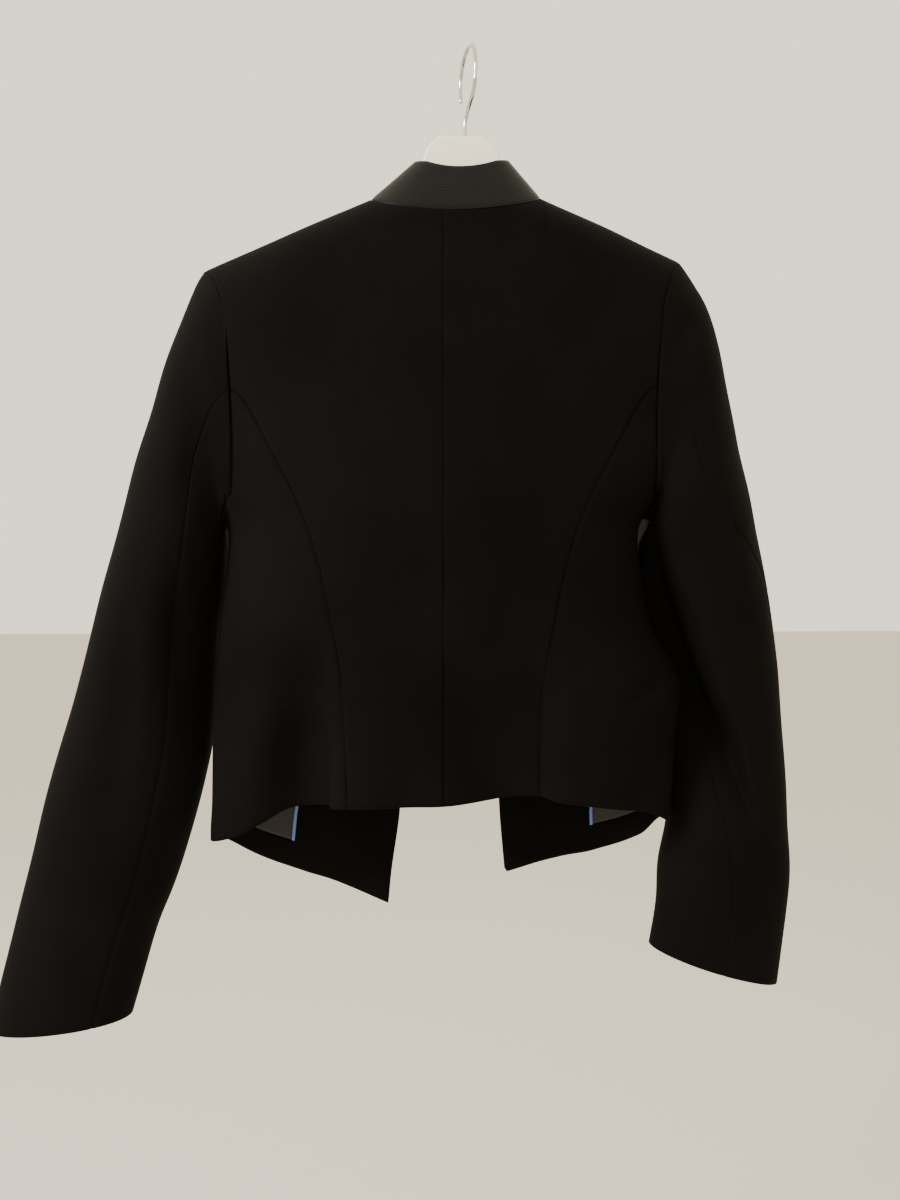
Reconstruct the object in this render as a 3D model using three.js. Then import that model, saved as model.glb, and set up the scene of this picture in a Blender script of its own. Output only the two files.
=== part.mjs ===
// A cropped blazer with long sleeves and a stand collar, open at the front,
// as it hangs on a broad plain hanger.
// Millimetres, +Z up. The origin is the inside of the hook's top, where a rail carries the whole thing.
// The garment's back faces -Y and its open front faces +Y. "Left" is the wearer's left, at -X.
// "down" is always the distance below the origin, so z = -down.
import * as THREE from 'three';

// Cloth and seams
const clothThickness = 1.5;
const liningThickness = 1.0;
const seamGap = 0.3;
const sleeveSeamGap = 0.5;
const skinGap = 0.3;
const freeInset = 2.5;

// Body: the middle of the garment hangs a little to the left of the hook
const bodyMiddle = -20;
const seamMiddle = -22;
const shoulderRound = 40;
const fullness = 0.8;
const shoulders = {
  left: { neckX: -79, neckDown: 125, pointX: -214, pointDown: 182, underarmDown: 385 },
  right: { neckX: 58, neckDown: 122, pointX: 179, pointDown: 171, underarmDown: 383 },
};

// Level sections of the body: middle, half width at the side seams, reach to the back and to the front.
// Above the underarm the half width is that of the full form, which the armholes cut short.
const bodySections = [
  { down: 95, middle: -20, half: 206, back: 47, front: 45 },
  { down: 180, middle: -20, half: 212, back: 54, front: 50 },
  { down: 260, middle: -20, half: 210, back: 58, front: 54 },
  { down: 330, middle: -21, half: 201, back: 60, front: 56 },
  { down: 365, middle: -23, half: 187, back: 60, front: 56 },
  { down: 385, middle: -26, half: 173, back: 59, front: 56 },
  { down: 417, middle: -27, half: 172, back: 57, front: 56 },
  { down: 470, middle: -26, half: 180, back: 54, front: 55 },
  { down: 516, middle: -15, half: 195, back: 52, front: 55 },
  { down: 562, middle: -18, half: 195, back: 51, front: 56 },
  { down: 620, middle: -20, half: 194, back: 52, front: 57 },
  { down: 645, middle: -22.5, half: 193, back: 52, front: 57 },
  { down: 735, middle: -22.5, half: 193, back: 53, front: 58 },
];

// Armhole seam: share of the way from the shoulder point to the underarm, and distance out from the middle
const armholeLine = [
  { share: 0, out: 196 },
  { share: 0.07, out: 184 },
  { share: 0.18, out: 176 },
  { share: 0.3, out: 173 },
  { share: 0.5, out: 170.5 },
  { share: 0.7, out: 170 },
  { share: 0.9, out: 172 },
];
const underarmShare = 0.9;
const underarmRoundness = 0.6;

// Curved back seam from the armhole to the hem: distance out from the middle
const princessLine = [
  { down: 277, out: 169 },
  { down: 296, out: 154.5 },
  { down: 333, out: 134.5 },
  { down: 369, out: 116 },
  { down: 413, out: 100.5 },
  { down: 472, out: 88 },
  { down: 522, out: 81 },
  { down: 620, out: 77 },
];

// Hems, from the left side seam to the right one
const backHem = [
  { x: -216, down: 651 },
  { x: -190, down: 641 },
  { x: -170, down: 631 },
  { x: -145, down: 620 },
  { x: -100, down: 614 },
  { x: -22, down: 613 },
  { x: 40, down: 611 },
  { x: 75, down: 613 },
  { x: 117, down: 619 },
  { x: 150, down: 626 },
  { x: 171, down: 638 },
];
const frontHem = {
  left: [
    { x: -216, down: 651 },
    { x: -184, down: 676 },
    { x: -144, down: 696 },
    { x: -116, down: 707 },
    { x: -69, down: 730 },
  ],
  right: [
    { x: 40, down: 702 },
    { x: 90, down: 686 },
    { x: 117, down: 679 },
    { x: 156, down: 660 },
    { x: 171, down: 638 },
  ],
};

// Front edges hang open, a hand's width apart
const frontEdge = [
  { down: 165, left: -30, right: 10 },
  { down: 640, left: -58, right: 33 },
  { down: 700, left: -66, right: 38 },
  { down: 730, left: -69, right: 41 },
];
const neckFrontDown = 166;
const neckBackDown = 147;
const neckBackMiddle = -22;
const neckRoundness = { back: 0.4, front: 0.9 };
const neckSpread = THREE.MathUtils.degToRad(70);

// Folds of the back, which deepen from where they start to the hem
const backFolds = [
  { topX: -124, topDown: 440, hemX: -140, depth: 15, left: 27, right: 20 },
  { topX: -92, topDown: 500, hemX: -92, depth: -5, left: 22, right: 30 },
  { topX: -30, topDown: 470, hemX: 26, depth: 13, left: 30, right: 34 },
  { topX: 100, topDown: 520, hemX: 112, depth: -3, left: 30, right: 24 },
];
const foldsEnd = 612;

// Stand collar
const collarTop = { middle: -6, widthShare: 0.57, depthShare: 0.65, riseBack: 40, riseSide: 28 };

// Sleeve sections from the armhole to the cuff: the ends of each section at the outer edge and at the inner
// edge, half its depth, how far forward it hangs, and how far its seams are twisted round, in degrees
const sleeveSections = {
  left: [
    { outX: -214, outDown: 182, inX: -195, inDown: 385, half: 40, forward: 0, twist: 0 },
    { outX: -222, outDown: 193, inX: -200.5, inDown: 392, half: 43, forward: 3, twist: -2 },
    { outX: -235, outDown: 219, inX: -201, inDown: 399, half: 47, forward: 8, twist: -4 },
    { outX: -249, outDown: 252, inX: -201, inDown: 407, half: 51, forward: 12, twist: -6 },
    { outX: -261, outDown: 290, inX: -201.5, inDown: 417, half: 54, forward: 15, twist: -8 },
    { outX: -274, outDown: 328, inX: -202, inDown: 429, half: 55, forward: 17, twist: -10 },
    { outX: -285, outDown: 367, inX: -203.5, inDown: 443, half: 55, forward: 18, twist: -12 },
    { outX: -296, outDown: 405, inX: -206, inDown: 459, half: 54, forward: 18, twist: -14 },
    { outX: -306, outDown: 440, inX: -209.5, inDown: 479, half: 52, forward: 18, twist: -16 },
    { outX: -319, outDown: 487, inX: -212.5, inDown: 520, half: 48, forward: 18, twist: -18 },
    { outX: -332, outDown: 535, inX: -216.5, inDown: 568, half: 44, forward: 17, twist: -20 },
    { outX: -345, outDown: 580, inX: -224.5, inDown: 608, half: 40, forward: 14, twist: -22 },
    { outX: -357, outDown: 625, inX: -236, inDown: 650, half: 37, forward: 11, twist: -24 },
    { outX: -368, outDown: 670, inX: -249, inDown: 692, half: 34, forward: 9, twist: -25 },
    { outX: -380, outDown: 717, inX: -263, inDown: 728, half: 31, forward: 8, twist: -25 },
    { outX: -392, outDown: 765, inX: -275, inDown: 766, half: 29, forward: 7, twist: -25 },
    { outX: -404, outDown: 814, inX: -286, inDown: 803, half: 27, forward: 8, twist: -25 },
  ],
  right: [
    { outX: 179, outDown: 171, inX: 153, inDown: 383, half: 40, forward: 0, twist: 0 },
    { outX: 189, outDown: 184, inX: 154.5, inDown: 391, half: 43, forward: 3, twist: 2 },
    { outX: 203, outDown: 205, inX: 154, inDown: 398, half: 47, forward: 8, twist: 4 },
    { outX: 214, outDown: 237, inX: 152.5, inDown: 406, half: 51, forward: 12, twist: 8 },
    { outX: 222, outDown: 277, inX: 151, inDown: 415, half: 54, forward: 15, twist: 12 },
    { outX: 231, outDown: 314, inX: 150, inDown: 425, half: 55, forward: 17, twist: 18 },
    { outX: 241, outDown: 350, inX: 149.5, inDown: 437, half: 55, forward: 19, twist: 28 },
    { outX: 249, outDown: 385, inX: 150, inDown: 451, half: 54, forward: 20, twist: 42 },
    { outX: 257, outDown: 420, inX: 153.5, inDown: 469, half: 52, forward: 20, twist: 62 },
    { outX: 265, outDown: 463, inX: 166, inDown: 493, half: 50, forward: 20, twist: 90 },
    { outX: 271, outDown: 508, inX: 181, inDown: 525, half: 47, forward: 19, twist: 112 },
    { outX: 275, outDown: 552, inX: 181, inDown: 562, half: 43, forward: 17, twist: 130 },
    { outX: 278, outDown: 600, inX: 178, inDown: 604, half: 40, forward: 14, twist: 144 },
    { outX: 281, outDown: 645, inX: 175, inDown: 645, half: 36, forward: 12, twist: 154 },
    { outX: 283, outDown: 685, inX: 168, inDown: 680, half: 33, forward: 10, twist: 162 },
    { outX: 280, outDown: 725, inX: 166, inDown: 715, half: 30, forward: 9, twist: 165 },
    { outX: 273, outDown: 787, inX: 160, inDown: 752, half: 28, forward: 9, twist: 165 },
  ],
};
const sleeveRings = 26;
const backSleeveSeam = 82;
const frontSleeveSeam = 285;
const blendSections = 4;

// The right sleeve folds over itself: left of this line its back face drops in behind the edge
const sleeveFold = [
  { down: 360, x: 150, depth: 0 },
  { down: 392, x: 152, depth: 14 },
  { down: 424, x: 165, depth: 26 },
  { down: 480, x: 185, depth: 32 },
  { down: 537, x: 210, depth: 30 },
  { down: 596, x: 236, depth: 20 },
  { down: 650, x: 250, depth: 0 },
];
const foldSoftness = 14;

// Divisions of the panels
const armholeSteps = 12;
const seamSteps = 12;
const neckSteps = 5;
const shoulderSteps = 5;
const collarRows = 3;
// Rows are set closer together near the top of the centre back seam and of the front edges
const closerAtTop = 1.3;
// Where the facing starts across the front, and the row below the shoulder where facing and lining start
const facingColumn = 6;
const skinTopRow = 5;
const pipingWidth = 2.6;

// Flat moulded hanger: its arms lie under the shoulders, and its neck rises through the collar
const hangerThickness = 10;
const hangerUnderCloth = 4.2;
const hangerRound = 2.5;
const hangerEnd = { left: -196, right: 162 };
const hangerArmStart = { left: -84, right: 64 };
const hangerArmDepth = 26;
const hangerEndRound = 10;
// Its lower edge curves down between these two places, to a flat bow under the middle
const hangerBowEnd = { left: -128, right: 106 };
const hangerBowDepth = 34;
const hangerBowMiddle = { x: -10, depth: 88 };
const hangerTopDown = 70;
const hangerNeck = {
  left: [
    { x: -24, down: 70 },
    { x: -34, down: 79 },
    { x: -38, down: 93 },
    { x: -46, down: 105 },
    { x: -66, down: 124 },
  ],
  right: [
    { x: 43, down: 120 },
    { x: 33, down: 107 },
    { x: 28.5, down: 93 },
    { x: 23, down: 77 },
    { x: 13, down: 70 },
  ],
};

// Hook of round wire, turned a little about its stem
const hookWire = 3.4;
const hookRadius = 22;
const hookTurn = THREE.MathUtils.degToRad(13);
const hookStemX = -2.2;
// The wire from the stem to the start of the round part: how far out to the belly, and down
const hookBend = [
  { out: 0, down: 58, x: hookStemX },
  { out: 5, down: 49, x: -1 },
  { out: 14, down: 41, x: 0 },
  { out: 20, down: 33, x: 0 },
];
const hookArc = { from: -15, to: 195, step: 15 };
const hookTip = { x: 0.5, y: -1, down: 7 };
const hookSides = 10;
const hookSteps = 44;

const black = { color: 0x17161a, roughness: 0.9, metalness: 0 };
const materials = {
  cloth: new THREE.MeshStandardMaterial(black),
  collarCloth: new THREE.MeshStandardMaterial({ color: 0x2b2c29, roughness: 0.6, metalness: 0 }),
  lining: new THREE.MeshStandardMaterial({ color: 0x25252a, roughness: 0.5, metalness: 0 }),
  piping: new THREE.MeshStandardMaterial({ color: 0x47619a, roughness: 0.5, metalness: 0 }),
  plastic: new THREE.MeshStandardMaterial({ color: 0xe6e2d6, roughness: 0.45, metalness: 0 }),
  chrome: new THREE.MeshStandardMaterial({ color: 0xc8c8c8, roughness: 0.15, metalness: 1 }),
};

const mix = (a, b, share) => a + (b - a) * share;
const radians = THREE.MathUtils.degToRad;

// Reads one column of a table at a value of its key column, on a smooth curve through the rows
function readTable(rows, key, column, value) {
  const last = rows.length - 1;
  if (value <= rows[0][key]) return rows[0][column];
  if (value >= rows[last][key]) return rows[last][column];
  let i = 0;
  while (rows[i + 1][key] < value) i += 1;
  const slopeAt = (k) => {
    const before = rows[Math.max(k - 1, 0)];
    const after = rows[Math.min(k + 1, last)];
    return (after[column] - before[column]) / (after[key] - before[key]);
  };
  const width = rows[i + 1][key] - rows[i][key];
  const t = (value - rows[i][key]) / width;
  const rise = (3 - 2 * t) * t * t;
  return mix(rows[i][column], rows[i + 1][column], rise)
    + width * (slopeAt(i) * t * (1 - t) * (1 - t) - slopeAt(i + 1) * t * t * (1 - t));
}

// Reads a column of the sleeve sections at a place between rows, such as 2.5
function readSection(rows, column, place) {
  const numbered = rows.map((row, index) => ({ index, value: row[column] }));
  return readTable(numbered, 'index', 'value', place);
}

// The shoulder line, carried on straight to above the neck
function shoulderDown(x) {
  const { left, right } = shoulders;
  const slopeLeft = (left.pointDown - left.neckDown) / (left.neckX - left.pointX);
  const slopeRight = (right.pointDown - right.neckDown) / (right.pointX - right.neckX);
  const onLeft = left.neckDown - slopeLeft * (x - left.neckX);
  const onRight = right.neckDown + slopeRight * (x - right.neckX);
  return Math.max(onLeft, onRight);
}

// Distance down the cloth from the shoulder line, against the drop below it: a quarter turn, then straight
const quarterTurn = (Math.PI / 2) * shoulderRound;
function dropOf(along) {
  if (along < quarterTurn) return shoulderRound * (1 - Math.cos(along / shoulderRound));
  return shoulderRound + along - quarterTurn;
}
function alongOf(drop) {
  if (drop <= 0) return 0;
  if (drop < shoulderRound) return shoulderRound * Math.acos(1 - drop / shoulderRound);
  return quarterTurn + drop - shoulderRound;
}
const rollOf = (along) => (along < quarterTurn ? Math.sin(along / shoulderRound) : 1);

// How far the folds of the back push the cloth in, towards the front
function foldPush(x, down) {
  let push = 0;
  for (const fold of backFolds) {
    const share = (down - fold.topDown) / (foldsEnd - fold.topDown);
    if (share <= 0) continue;
    const line = mix(fold.topX, fold.hemX, Math.min(share, 1));
    const width = x < line ? fold.left : fold.right;
    const ramp = Math.min(share, 1);
    push += fold.depth * ramp * ramp * (3 - 2 * ramp) * Math.exp(-(((x - line) / width) ** 2));
  }
  return push;
}

// A point of the body's outer face. turn runs from -90 to 90 degrees between the side seams, along is the
// distance down the cloth, and side is -1 on the back and 1 on the front.
function bodyPoint(turn, along, side) {
  let x = bodyMiddle;
  let down = 0;
  for (let pass = 0; pass < 40; pass += 1) {
    down = shoulderDown(x) + dropOf(along);
    x = readTable(bodySections, 'down', 'middle', down)
      + readTable(bodySections, 'down', 'half', down) * Math.sin(turn);
  }
  const reach = readTable(bodySections, 'down', side < 0 ? 'back' : 'front', down);
  const taper = Math.max(Math.cos(turn), 0) ** fullness;
  const push = side < 0 ? foldPush(x, down) * Math.min(1, taper * 2) : 0;
  return new THREE.Vector3(x, side * reach * taper * rollOf(along) + push, -down);
}

// The same place named by its x and its distance down
function placeAt(x, down) {
  const half = readTable(bodySections, 'down', 'half', down);
  const middle = readTable(bodySections, 'down', 'middle', down);
  const sine = THREE.MathUtils.clamp((x - middle) / half, -1, 1);
  return { turn: Math.asin(sine), along: alongOf(down - shoulderDown(x)) };
}

// A body point with the direction out of the cloth there
function bodySpot(place, side) {
  const step = 0.012;
  const reach = 0.6;
  const point = bodyPoint(place.turn, place.along, side);
  const turnTo = Math.min(place.turn + step, Math.PI / 2);
  const turnFrom = Math.max(place.turn - step, -Math.PI / 2);
  const across = bodyPoint(turnTo, place.along, side).sub(bodyPoint(turnFrom, place.along, side));
  const alongFrom = Math.max(place.along - reach, 0);
  const above = bodyPoint(place.turn, alongFrom, side);
  const downward = bodyPoint(place.turn, place.along + reach, side).sub(above);
  const normal = across.cross(downward).normalize();
  const outward = new THREE.Vector3((point.x - bodyMiddle) * 0.2, point.y, shoulderRound);
  if (normal.dot(outward) < 0) normal.negate();
  return { point, normal };
}

// Seam lines of one side of the body. hand is -1 for the left and 1 for the right.
function seamsOf(hand) {
  const name = hand < 0 ? 'left' : 'right';
  const corner = shoulders[name];
  const sideX = (down) => readTable(bodySections, 'down', 'middle', down)
    + hand * readTable(bodySections, 'down', 'half', down);
  const sideHemDown = hand < 0 ? backHem[0].down : backHem[backHem.length - 1].down;
  const armhole = (share) => {
    if (share >= 1) return placeAt(sideX(corner.underarmDown), corner.underarmDown);
    const down = mix(corner.pointDown, corner.underarmDown, share);
    const x = bodyMiddle + hand * readTable(armholeLine, 'share', 'out', share);
    if (share <= 0) return placeAt(corner.pointX, shoulderDown(corner.pointX));
    if (share <= underarmShare) return placeAt(x, Math.max(down, shoulderDown(x) + 0.5));
    const lowDown = mix(corner.pointDown, corner.underarmDown, underarmShare);
    const low = placeAt(bodyMiddle + hand * armholeLine[armholeLine.length - 1].out, lowDown);
    const left = ((1 - share) / (1 - underarmShare)) ** underarmRoundness;
    const turn = mix(hand * Math.PI / 2, low.turn, left);
    return { turn, along: alongOf(down - shoulderDown(sideX(down))) };
  };
  const sideSeam = (share) => {
    const down = mix(corner.underarmDown, sideHemDown, share);
    return { turn: hand * Math.PI / 2, along: alongOf(down - shoulderDown(sideX(down))) };
  };
  const hemOf = (table) => (x) => placeAt(x, readTable(table, 'x', 'down', x));
  const princessHemX = seamMiddle + hand * princessLine[princessLine.length - 1].out;
  const princessHemDown = readTable(backHem, 'x', 'down', princessHemX);
  const princess = (share) => {
    if (share <= 0) return armhole(0.5);
    if (share >= 1) return hemOf(backHem)(princessHemX);
    const down = mix(mix(corner.pointDown, corner.underarmDown, 0.5), princessHemDown, share);
    const out = readTable(princessLine, 'down', 'out', down);
    return placeAt(seamMiddle + hand * out, down);
  };
  const centreHemDown = readTable(backHem, 'x', 'down', seamMiddle);
  const centre = (share) => placeAt(seamMiddle, mix(neckBackDown, centreHemDown, share));
  const shoulder = (share) => {
    const x = mix(corner.neckX, corner.pointX, share);
    return placeAt(x, shoulderDown(x));
  };
  const backNeck = (share) => {
    if (share >= 1) return shoulder(0);
    const out = Math.sin(share * neckSpread) / Math.sin(neckSpread);
    const rise = (1 - out * out) ** neckRoundness.back;
    return placeAt(mix(neckBackMiddle, corner.neckX, out), mix(corner.neckDown, neckBackDown, rise));
  };
  const edgeTop = frontEdge[0][name];
  const frontNeck = (share) => {
    if (share <= 0) return shoulder(0);
    const angle = share * Math.PI / 2;
    const down = mix(corner.neckDown, neckFrontDown, Math.sin(angle) ** neckRoundness.front);
    return placeAt(mix(corner.neckX, edgeTop, share), down);
  };
  const tip = hand < 0 ? frontHem.left[frontHem.left.length - 1] : frontHem.right[0];
  const opening = (share) => {
    const down = mix(neckFrontDown, tip.down, share);
    return placeAt(share >= 1 ? tip.x : readTable(frontEdge, 'down', name, down), down);
  };
  return {
    name, armhole, sideSeam, princess, princessHemX, centre, shoulder, backNeck, frontNeck, opening, tip,
    sideHemX: sideX(sideHemDown), backHemAt: hemOf(backHem), frontHemAt: hemOf(frontHem[name]),
  };
}

// Even steps round the armhole, closer at the shoulder and the underarm, as a share of the way down
const armholeShare = (step) => (1 - Math.cos((Math.PI * step) / armholeSteps)) / 2;

// Fills a four-sided panel between its edges. Each edge is a list of places, top and bottom from the first
// side to the second, and both sides from top to bottom. The bends of an edge fade out across the panel, those
// of the top and of the sides faster than evenly.
const topFade = 3;
const sideFade = 2;
function fillPanel(top, bottom, first, second, side) {
  const rows = first.length - 1;
  const columns = top.length - 1;
  const grid = [];
  for (let r = 0; r <= rows; r += 1) {
    const v = r / rows;
    const line = [];
    for (let c = 0; c <= columns; c += 1) {
      const u = c / columns;
      const place = {};
      for (const key of ['turn', 'along']) {
        const topLine = mix(top[0][key], top[columns][key], u);
        const bottomLine = mix(bottom[0][key], bottom[columns][key], u);
        const firstLine = mix(first[0][key], first[rows][key], v);
        const secondLine = mix(second[0][key], second[rows][key], v);
        place[key] = mix(topLine, bottomLine, v)
          + (top[c][key] - topLine) * (1 - v) ** topFade
          + (bottom[c][key] - bottomLine) * v
          + (first[r][key] - firstLine) * (1 - u) ** sideFade
          + (second[r][key] - secondLine) * u ** sideFade;
      }
      line.push(bodySpot(place, side));
    }
    grid.push(line);
  }
  return grid;
}

const listOf = (steps, make) => Array.from({ length: steps + 1 }, (_, i) => make(i));

function backPanel(seams) {
  const halfHole = armholeSteps / 2;
  const armholeEdge = listOf(halfHole, (i) => seams.armhole(armholeShare(i)));
  const princessEdge = listOf(seamSteps, (i) => seams.princess(i / seamSteps)).slice(1);
  const outer = armholeEdge.concat(princessEdge);
  const rows = outer.length - 1;
  const centre = listOf(rows, (i) => seams.centre((i / rows) ** closerAtTop));
  const neck = listOf(neckSteps, (i) => seams.backNeck(i / neckSteps));
  const shoulder = listOf(shoulderSteps, (i) => seams.shoulder(i / shoulderSteps)).slice(1);
  const top = neck.concat(shoulder);
  const columns = top.length - 1;
  const hem = listOf(columns, (i) => seams.backHemAt(mix(seamMiddle, seams.princessHemX, i / columns)));
  return fillPanel(top, hem, centre, outer, -1);
}

function sideBackPanel(seams) {
  const halfHole = armholeSteps / 2;
  const top = listOf(halfHole, (i) => seams.armhole(armholeShare(halfHole + i)));
  const hem = listOf(halfHole, (i) => {
    const x = mix(seams.princessHemX, seams.sideHemX, Math.sin((i / halfHole) * Math.PI / 2));
    return i === halfHole ? seams.sideSeam(1) : seams.backHemAt(x);
  });
  const princess = listOf(seamSteps, (i) => seams.princess(i / seamSteps));
  const sideSeam = listOf(seamSteps, (i) => seams.sideSeam(i / seamSteps));
  return fillPanel(top, hem, princess, sideSeam, -1);
}

function frontPanel(seams) {
  const armholeEdge = listOf(armholeSteps, (i) => seams.armhole(armholeShare(i)));
  const outer = armholeEdge.concat(listOf(seamSteps, (i) => seams.sideSeam(i / seamSteps)).slice(1));
  const rows = outer.length - 1;
  const opening = listOf(rows, (i) => seams.opening((i / rows) ** closerAtTop));
  const shoulder = listOf(shoulderSteps, (i) => seams.shoulder(1 - i / shoulderSteps));
  const neck = listOf(neckSteps, (i) => seams.frontNeck(i / neckSteps)).slice(1);
  const top = shoulder.concat(neck);
  const columns = top.length - 1;
  const hem = listOf(columns, (i) => {
    if (i === 0) return seams.sideSeam(1);
    return seams.frontHemAt(mix(seams.sideHemX, seams.tip.x, 1 - Math.cos((i / columns) * Math.PI / 2)));
  });
  return fillPanel(top, hem, outer, opening, 1);
}

// Directions out of the cloth on a grid of points that rings a line of centres, closed on itself or open
function addNormals(points, centres, closed) {
  const rows = points.length - 1;
  const columns = points[0].length - 1;
  return points.map((line, r) => line.map((point, c) => {
    const downward = points[Math.min(r + 1, rows)][c].clone().sub(points[Math.max(r - 1, 0)][c]);
    const next = closed ? (c % columns) + 1 : Math.min(c + 1, columns);
    const before = closed ? ((c + columns - 1) % columns) : Math.max(c - 1, 0);
    const around = points[r][next].clone().sub(points[r][before]);
    const normal = around.cross(downward).normalize();
    if (normal.dot(point.clone().sub(centres[r])) < 0) normal.negate();
    return { point, normal };
  }));
}

// One sleeve as rings of points: column 0 is the underarm, a quarter of the columns on is the back seam,
// half of them on is the shoulder point, and so on round by the front
function sleeveGrid(seams, hand) {
  const rows = sleeveSections[seams.name];
  const around = armholeSteps * 2;
  const hole = listOf(around, (i) => {
    const step = i <= armholeSteps ? armholeSteps - i : i - armholeSteps;
    return bodySpot(seams.armhole(armholeShare(step)), i <= armholeSteps ? -1 : 1);
  });
  const underarm = hole[0].point;
  const top = hole[armholeSteps].point;
  const reach = top.clone().sub(underarm);
  const points = [];
  const centres = [];
  for (let ring = 0; ring <= sleeveRings; ring += 1) {
    const place = (ring / sleeveRings) * (rows.length - 1);
    const read = (column) => readSection(rows, column, place);
    const inner = new THREE.Vector3(read('inX'), read('forward'), -read('inDown'));
    const outer = new THREE.Vector3(read('outX'), read('forward'), -read('outDown'));
    const blend = Math.min(place / blendSections, 1);
    const line = [];
    for (let i = 0; i <= around; i += 1) {
      const even = (i / around) * 360;
      const seam = mix(90, backSleeveSeam, blend);
      const frontSeam = mix(270, frontSleeveSeam, blend);
      let angle = mix(0, seam, even / 90);
      if (even > 90) angle = mix(seam, frontSeam, (even - 90) / 180);
      if (even > 270) angle = mix(frontSeam, 360, (even - 270) / 90);
      const turn = radians(angle + read('twist'));
      const share = (1 - Math.cos(turn)) / 2;
      const point = inner.clone().lerp(outer, share);
      point.y -= read('half') * Math.sin(turn);
      const holeShare = (1 - Math.cos(radians(even))) / 2;
      const aside = hole[i].point.clone().sub(underarm.clone().addScaledVector(reach, holeShare));
      const held = inner.clone().lerp(outer, holeShare).add(aside);
      point.lerp(held, (1 - blend) ** 2);
      if (ring === 0) point.copy(hole[i].point).add(new THREE.Vector3(hand * sleeveSeamGap, 0, 0));
      if (hand > 0) point.y += sleeveFoldPush(point, turn);
      line.push(point);
    }
    line[around].copy(line[0]);
    points.push(line);
    centres.push(inner.clone().lerp(outer, 0.5));
  }
  return addNormals(points, centres, true);
}

// How far the folded right sleeve drops in behind the edge of its fold
function sleeveFoldPush(point, turn) {
  const down = -point.z;
  const line = readTable(sleeveFold, 'down', 'x', down);
  const depth = readTable(sleeveFold, 'down', 'depth', down);
  const share = THREE.MathUtils.clamp((line - point.x) / foldSoftness, 0, 1);
  return depth * share * share * (3 - 2 * share) * Math.max(Math.sin(turn), 0) ** 2;
}

// Gives two edges that are sewn together the same direction of thickness, halfway between their own
function shareNormals(pairs) {
  for (const [one, other] of pairs) {
    const halfway = one.normal.clone().add(other.normal).normalize();
    one.normal.copy(halfway);
    other.normal.copy(halfway);
  }
}

// Draws the named edges of a grid back by a distance, so that sewn pieces stay apart
function drawnBack(grid, edges) {
  const rows = grid.length - 1;
  const columns = grid[0].length - 1;
  const shifts = grid.map((line) => line.map(() => new THREE.Vector3()));
  const leans = grid.map((line) => line.map(() => new THREE.Vector3()));
  const draw = (r, c, inR, inC, alongR, alongC, distance) => {
    const inward = grid[inR][inC].point.clone().sub(grid[r][c].point);
    const before = grid[Math.max(r - alongR, 0)][Math.max(c - alongC, 0)].point;
    const after = grid[Math.min(r + alongR, rows)][Math.min(c + alongC, columns)].point;
    const edge = after.clone().sub(before).normalize();
    inward.addScaledVector(edge, -inward.dot(edge));
    const share = distance / inward.length();
    shifts[r][c].addScaledVector(inward, share);
    leans[r][c].addScaledVector(grid[inR][inC].normal.clone().sub(grid[r][c].normal), share);
  };
  for (let c = 0; c <= columns; c += 1) {
    if (edges.top) draw(0, c, 1, c, 0, 1, edges.top);
    if (edges.bottom) draw(rows, c, rows - 1, c, 0, 1, edges.bottom);
  }
  for (let r = 0; r <= rows; r += 1) {
    if (edges.first) draw(r, 0, r, 1, 1, 0, edges.first);
    if (edges.second) draw(r, columns, r, columns - 1, 1, 0, edges.second);
  }
  return grid.map((line, r) => line.map((spot, c) => ({
    point: spot.point.clone().add(shifts[r][c]),
    normal: spot.normal.clone().add(leans[r][c]),
  })));
}

// A closed wall over the chosen cells of a grid: an outer face sunk below the grid by inset, an inner face
// below that by the thickness, and a rim round the edge
function wallGeometry(grid, thickness, inset = 0, useCell = () => true) {
  const rows = grid.length - 1;
  const columns = grid[0].length - 1;
  const corners = [];
  for (const depth of [inset, inset + thickness]) {
    for (const line of grid) {
      for (const spot of line) corners.push(spot.point.clone().addScaledVector(spot.normal, -depth));
    }
  }
  const layer = (rows + 1) * (columns + 1);
  const at = (r, c) => r * (columns + 1) + c;
  const triangles = [];
  const used = (r, c) => r >= 0 && r < rows && c >= 0 && c < columns && useCell(r, c);
  const rim = (a, b) => triangles.push([b, a, a + layer], [b, a + layer, b + layer]);
  for (let r = 0; r < rows; r += 1) {
    for (let c = 0; c < columns; c += 1) {
      if (!used(r, c)) continue;
      const [p, q, s, t] = [at(r, c), at(r, c + 1), at(r + 1, c + 1), at(r + 1, c)];
      triangles.push([p, q, s], [p, s, t]);
      triangles.push([p + layer, s + layer, q + layer], [p + layer, t + layer, s + layer]);
      if (!used(r - 1, c)) rim(p, q);
      if (!used(r, c + 1)) rim(q, s);
      if (!used(r + 1, c)) rim(s, t);
      if (!used(r, c - 1)) rim(t, p);
    }
  }
  let volume = 0;
  for (const [a, b, c] of triangles) volume += corners[a].dot(corners[b].clone().cross(corners[c]));
  const positions = [];
  for (const [a, b, c] of triangles) {
    const outward = volume > 0 ? [a, b, c] : [a, c, b];
    for (const i of outward) positions.push(...corners[i].toArray());
  }
  const geometry = new THREE.BufferGeometry();
  geometry.setAttribute('position', new THREE.Float32BufferAttribute(positions, 3));
  geometry.computeVertexNormals();
  return geometry;
}

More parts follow.
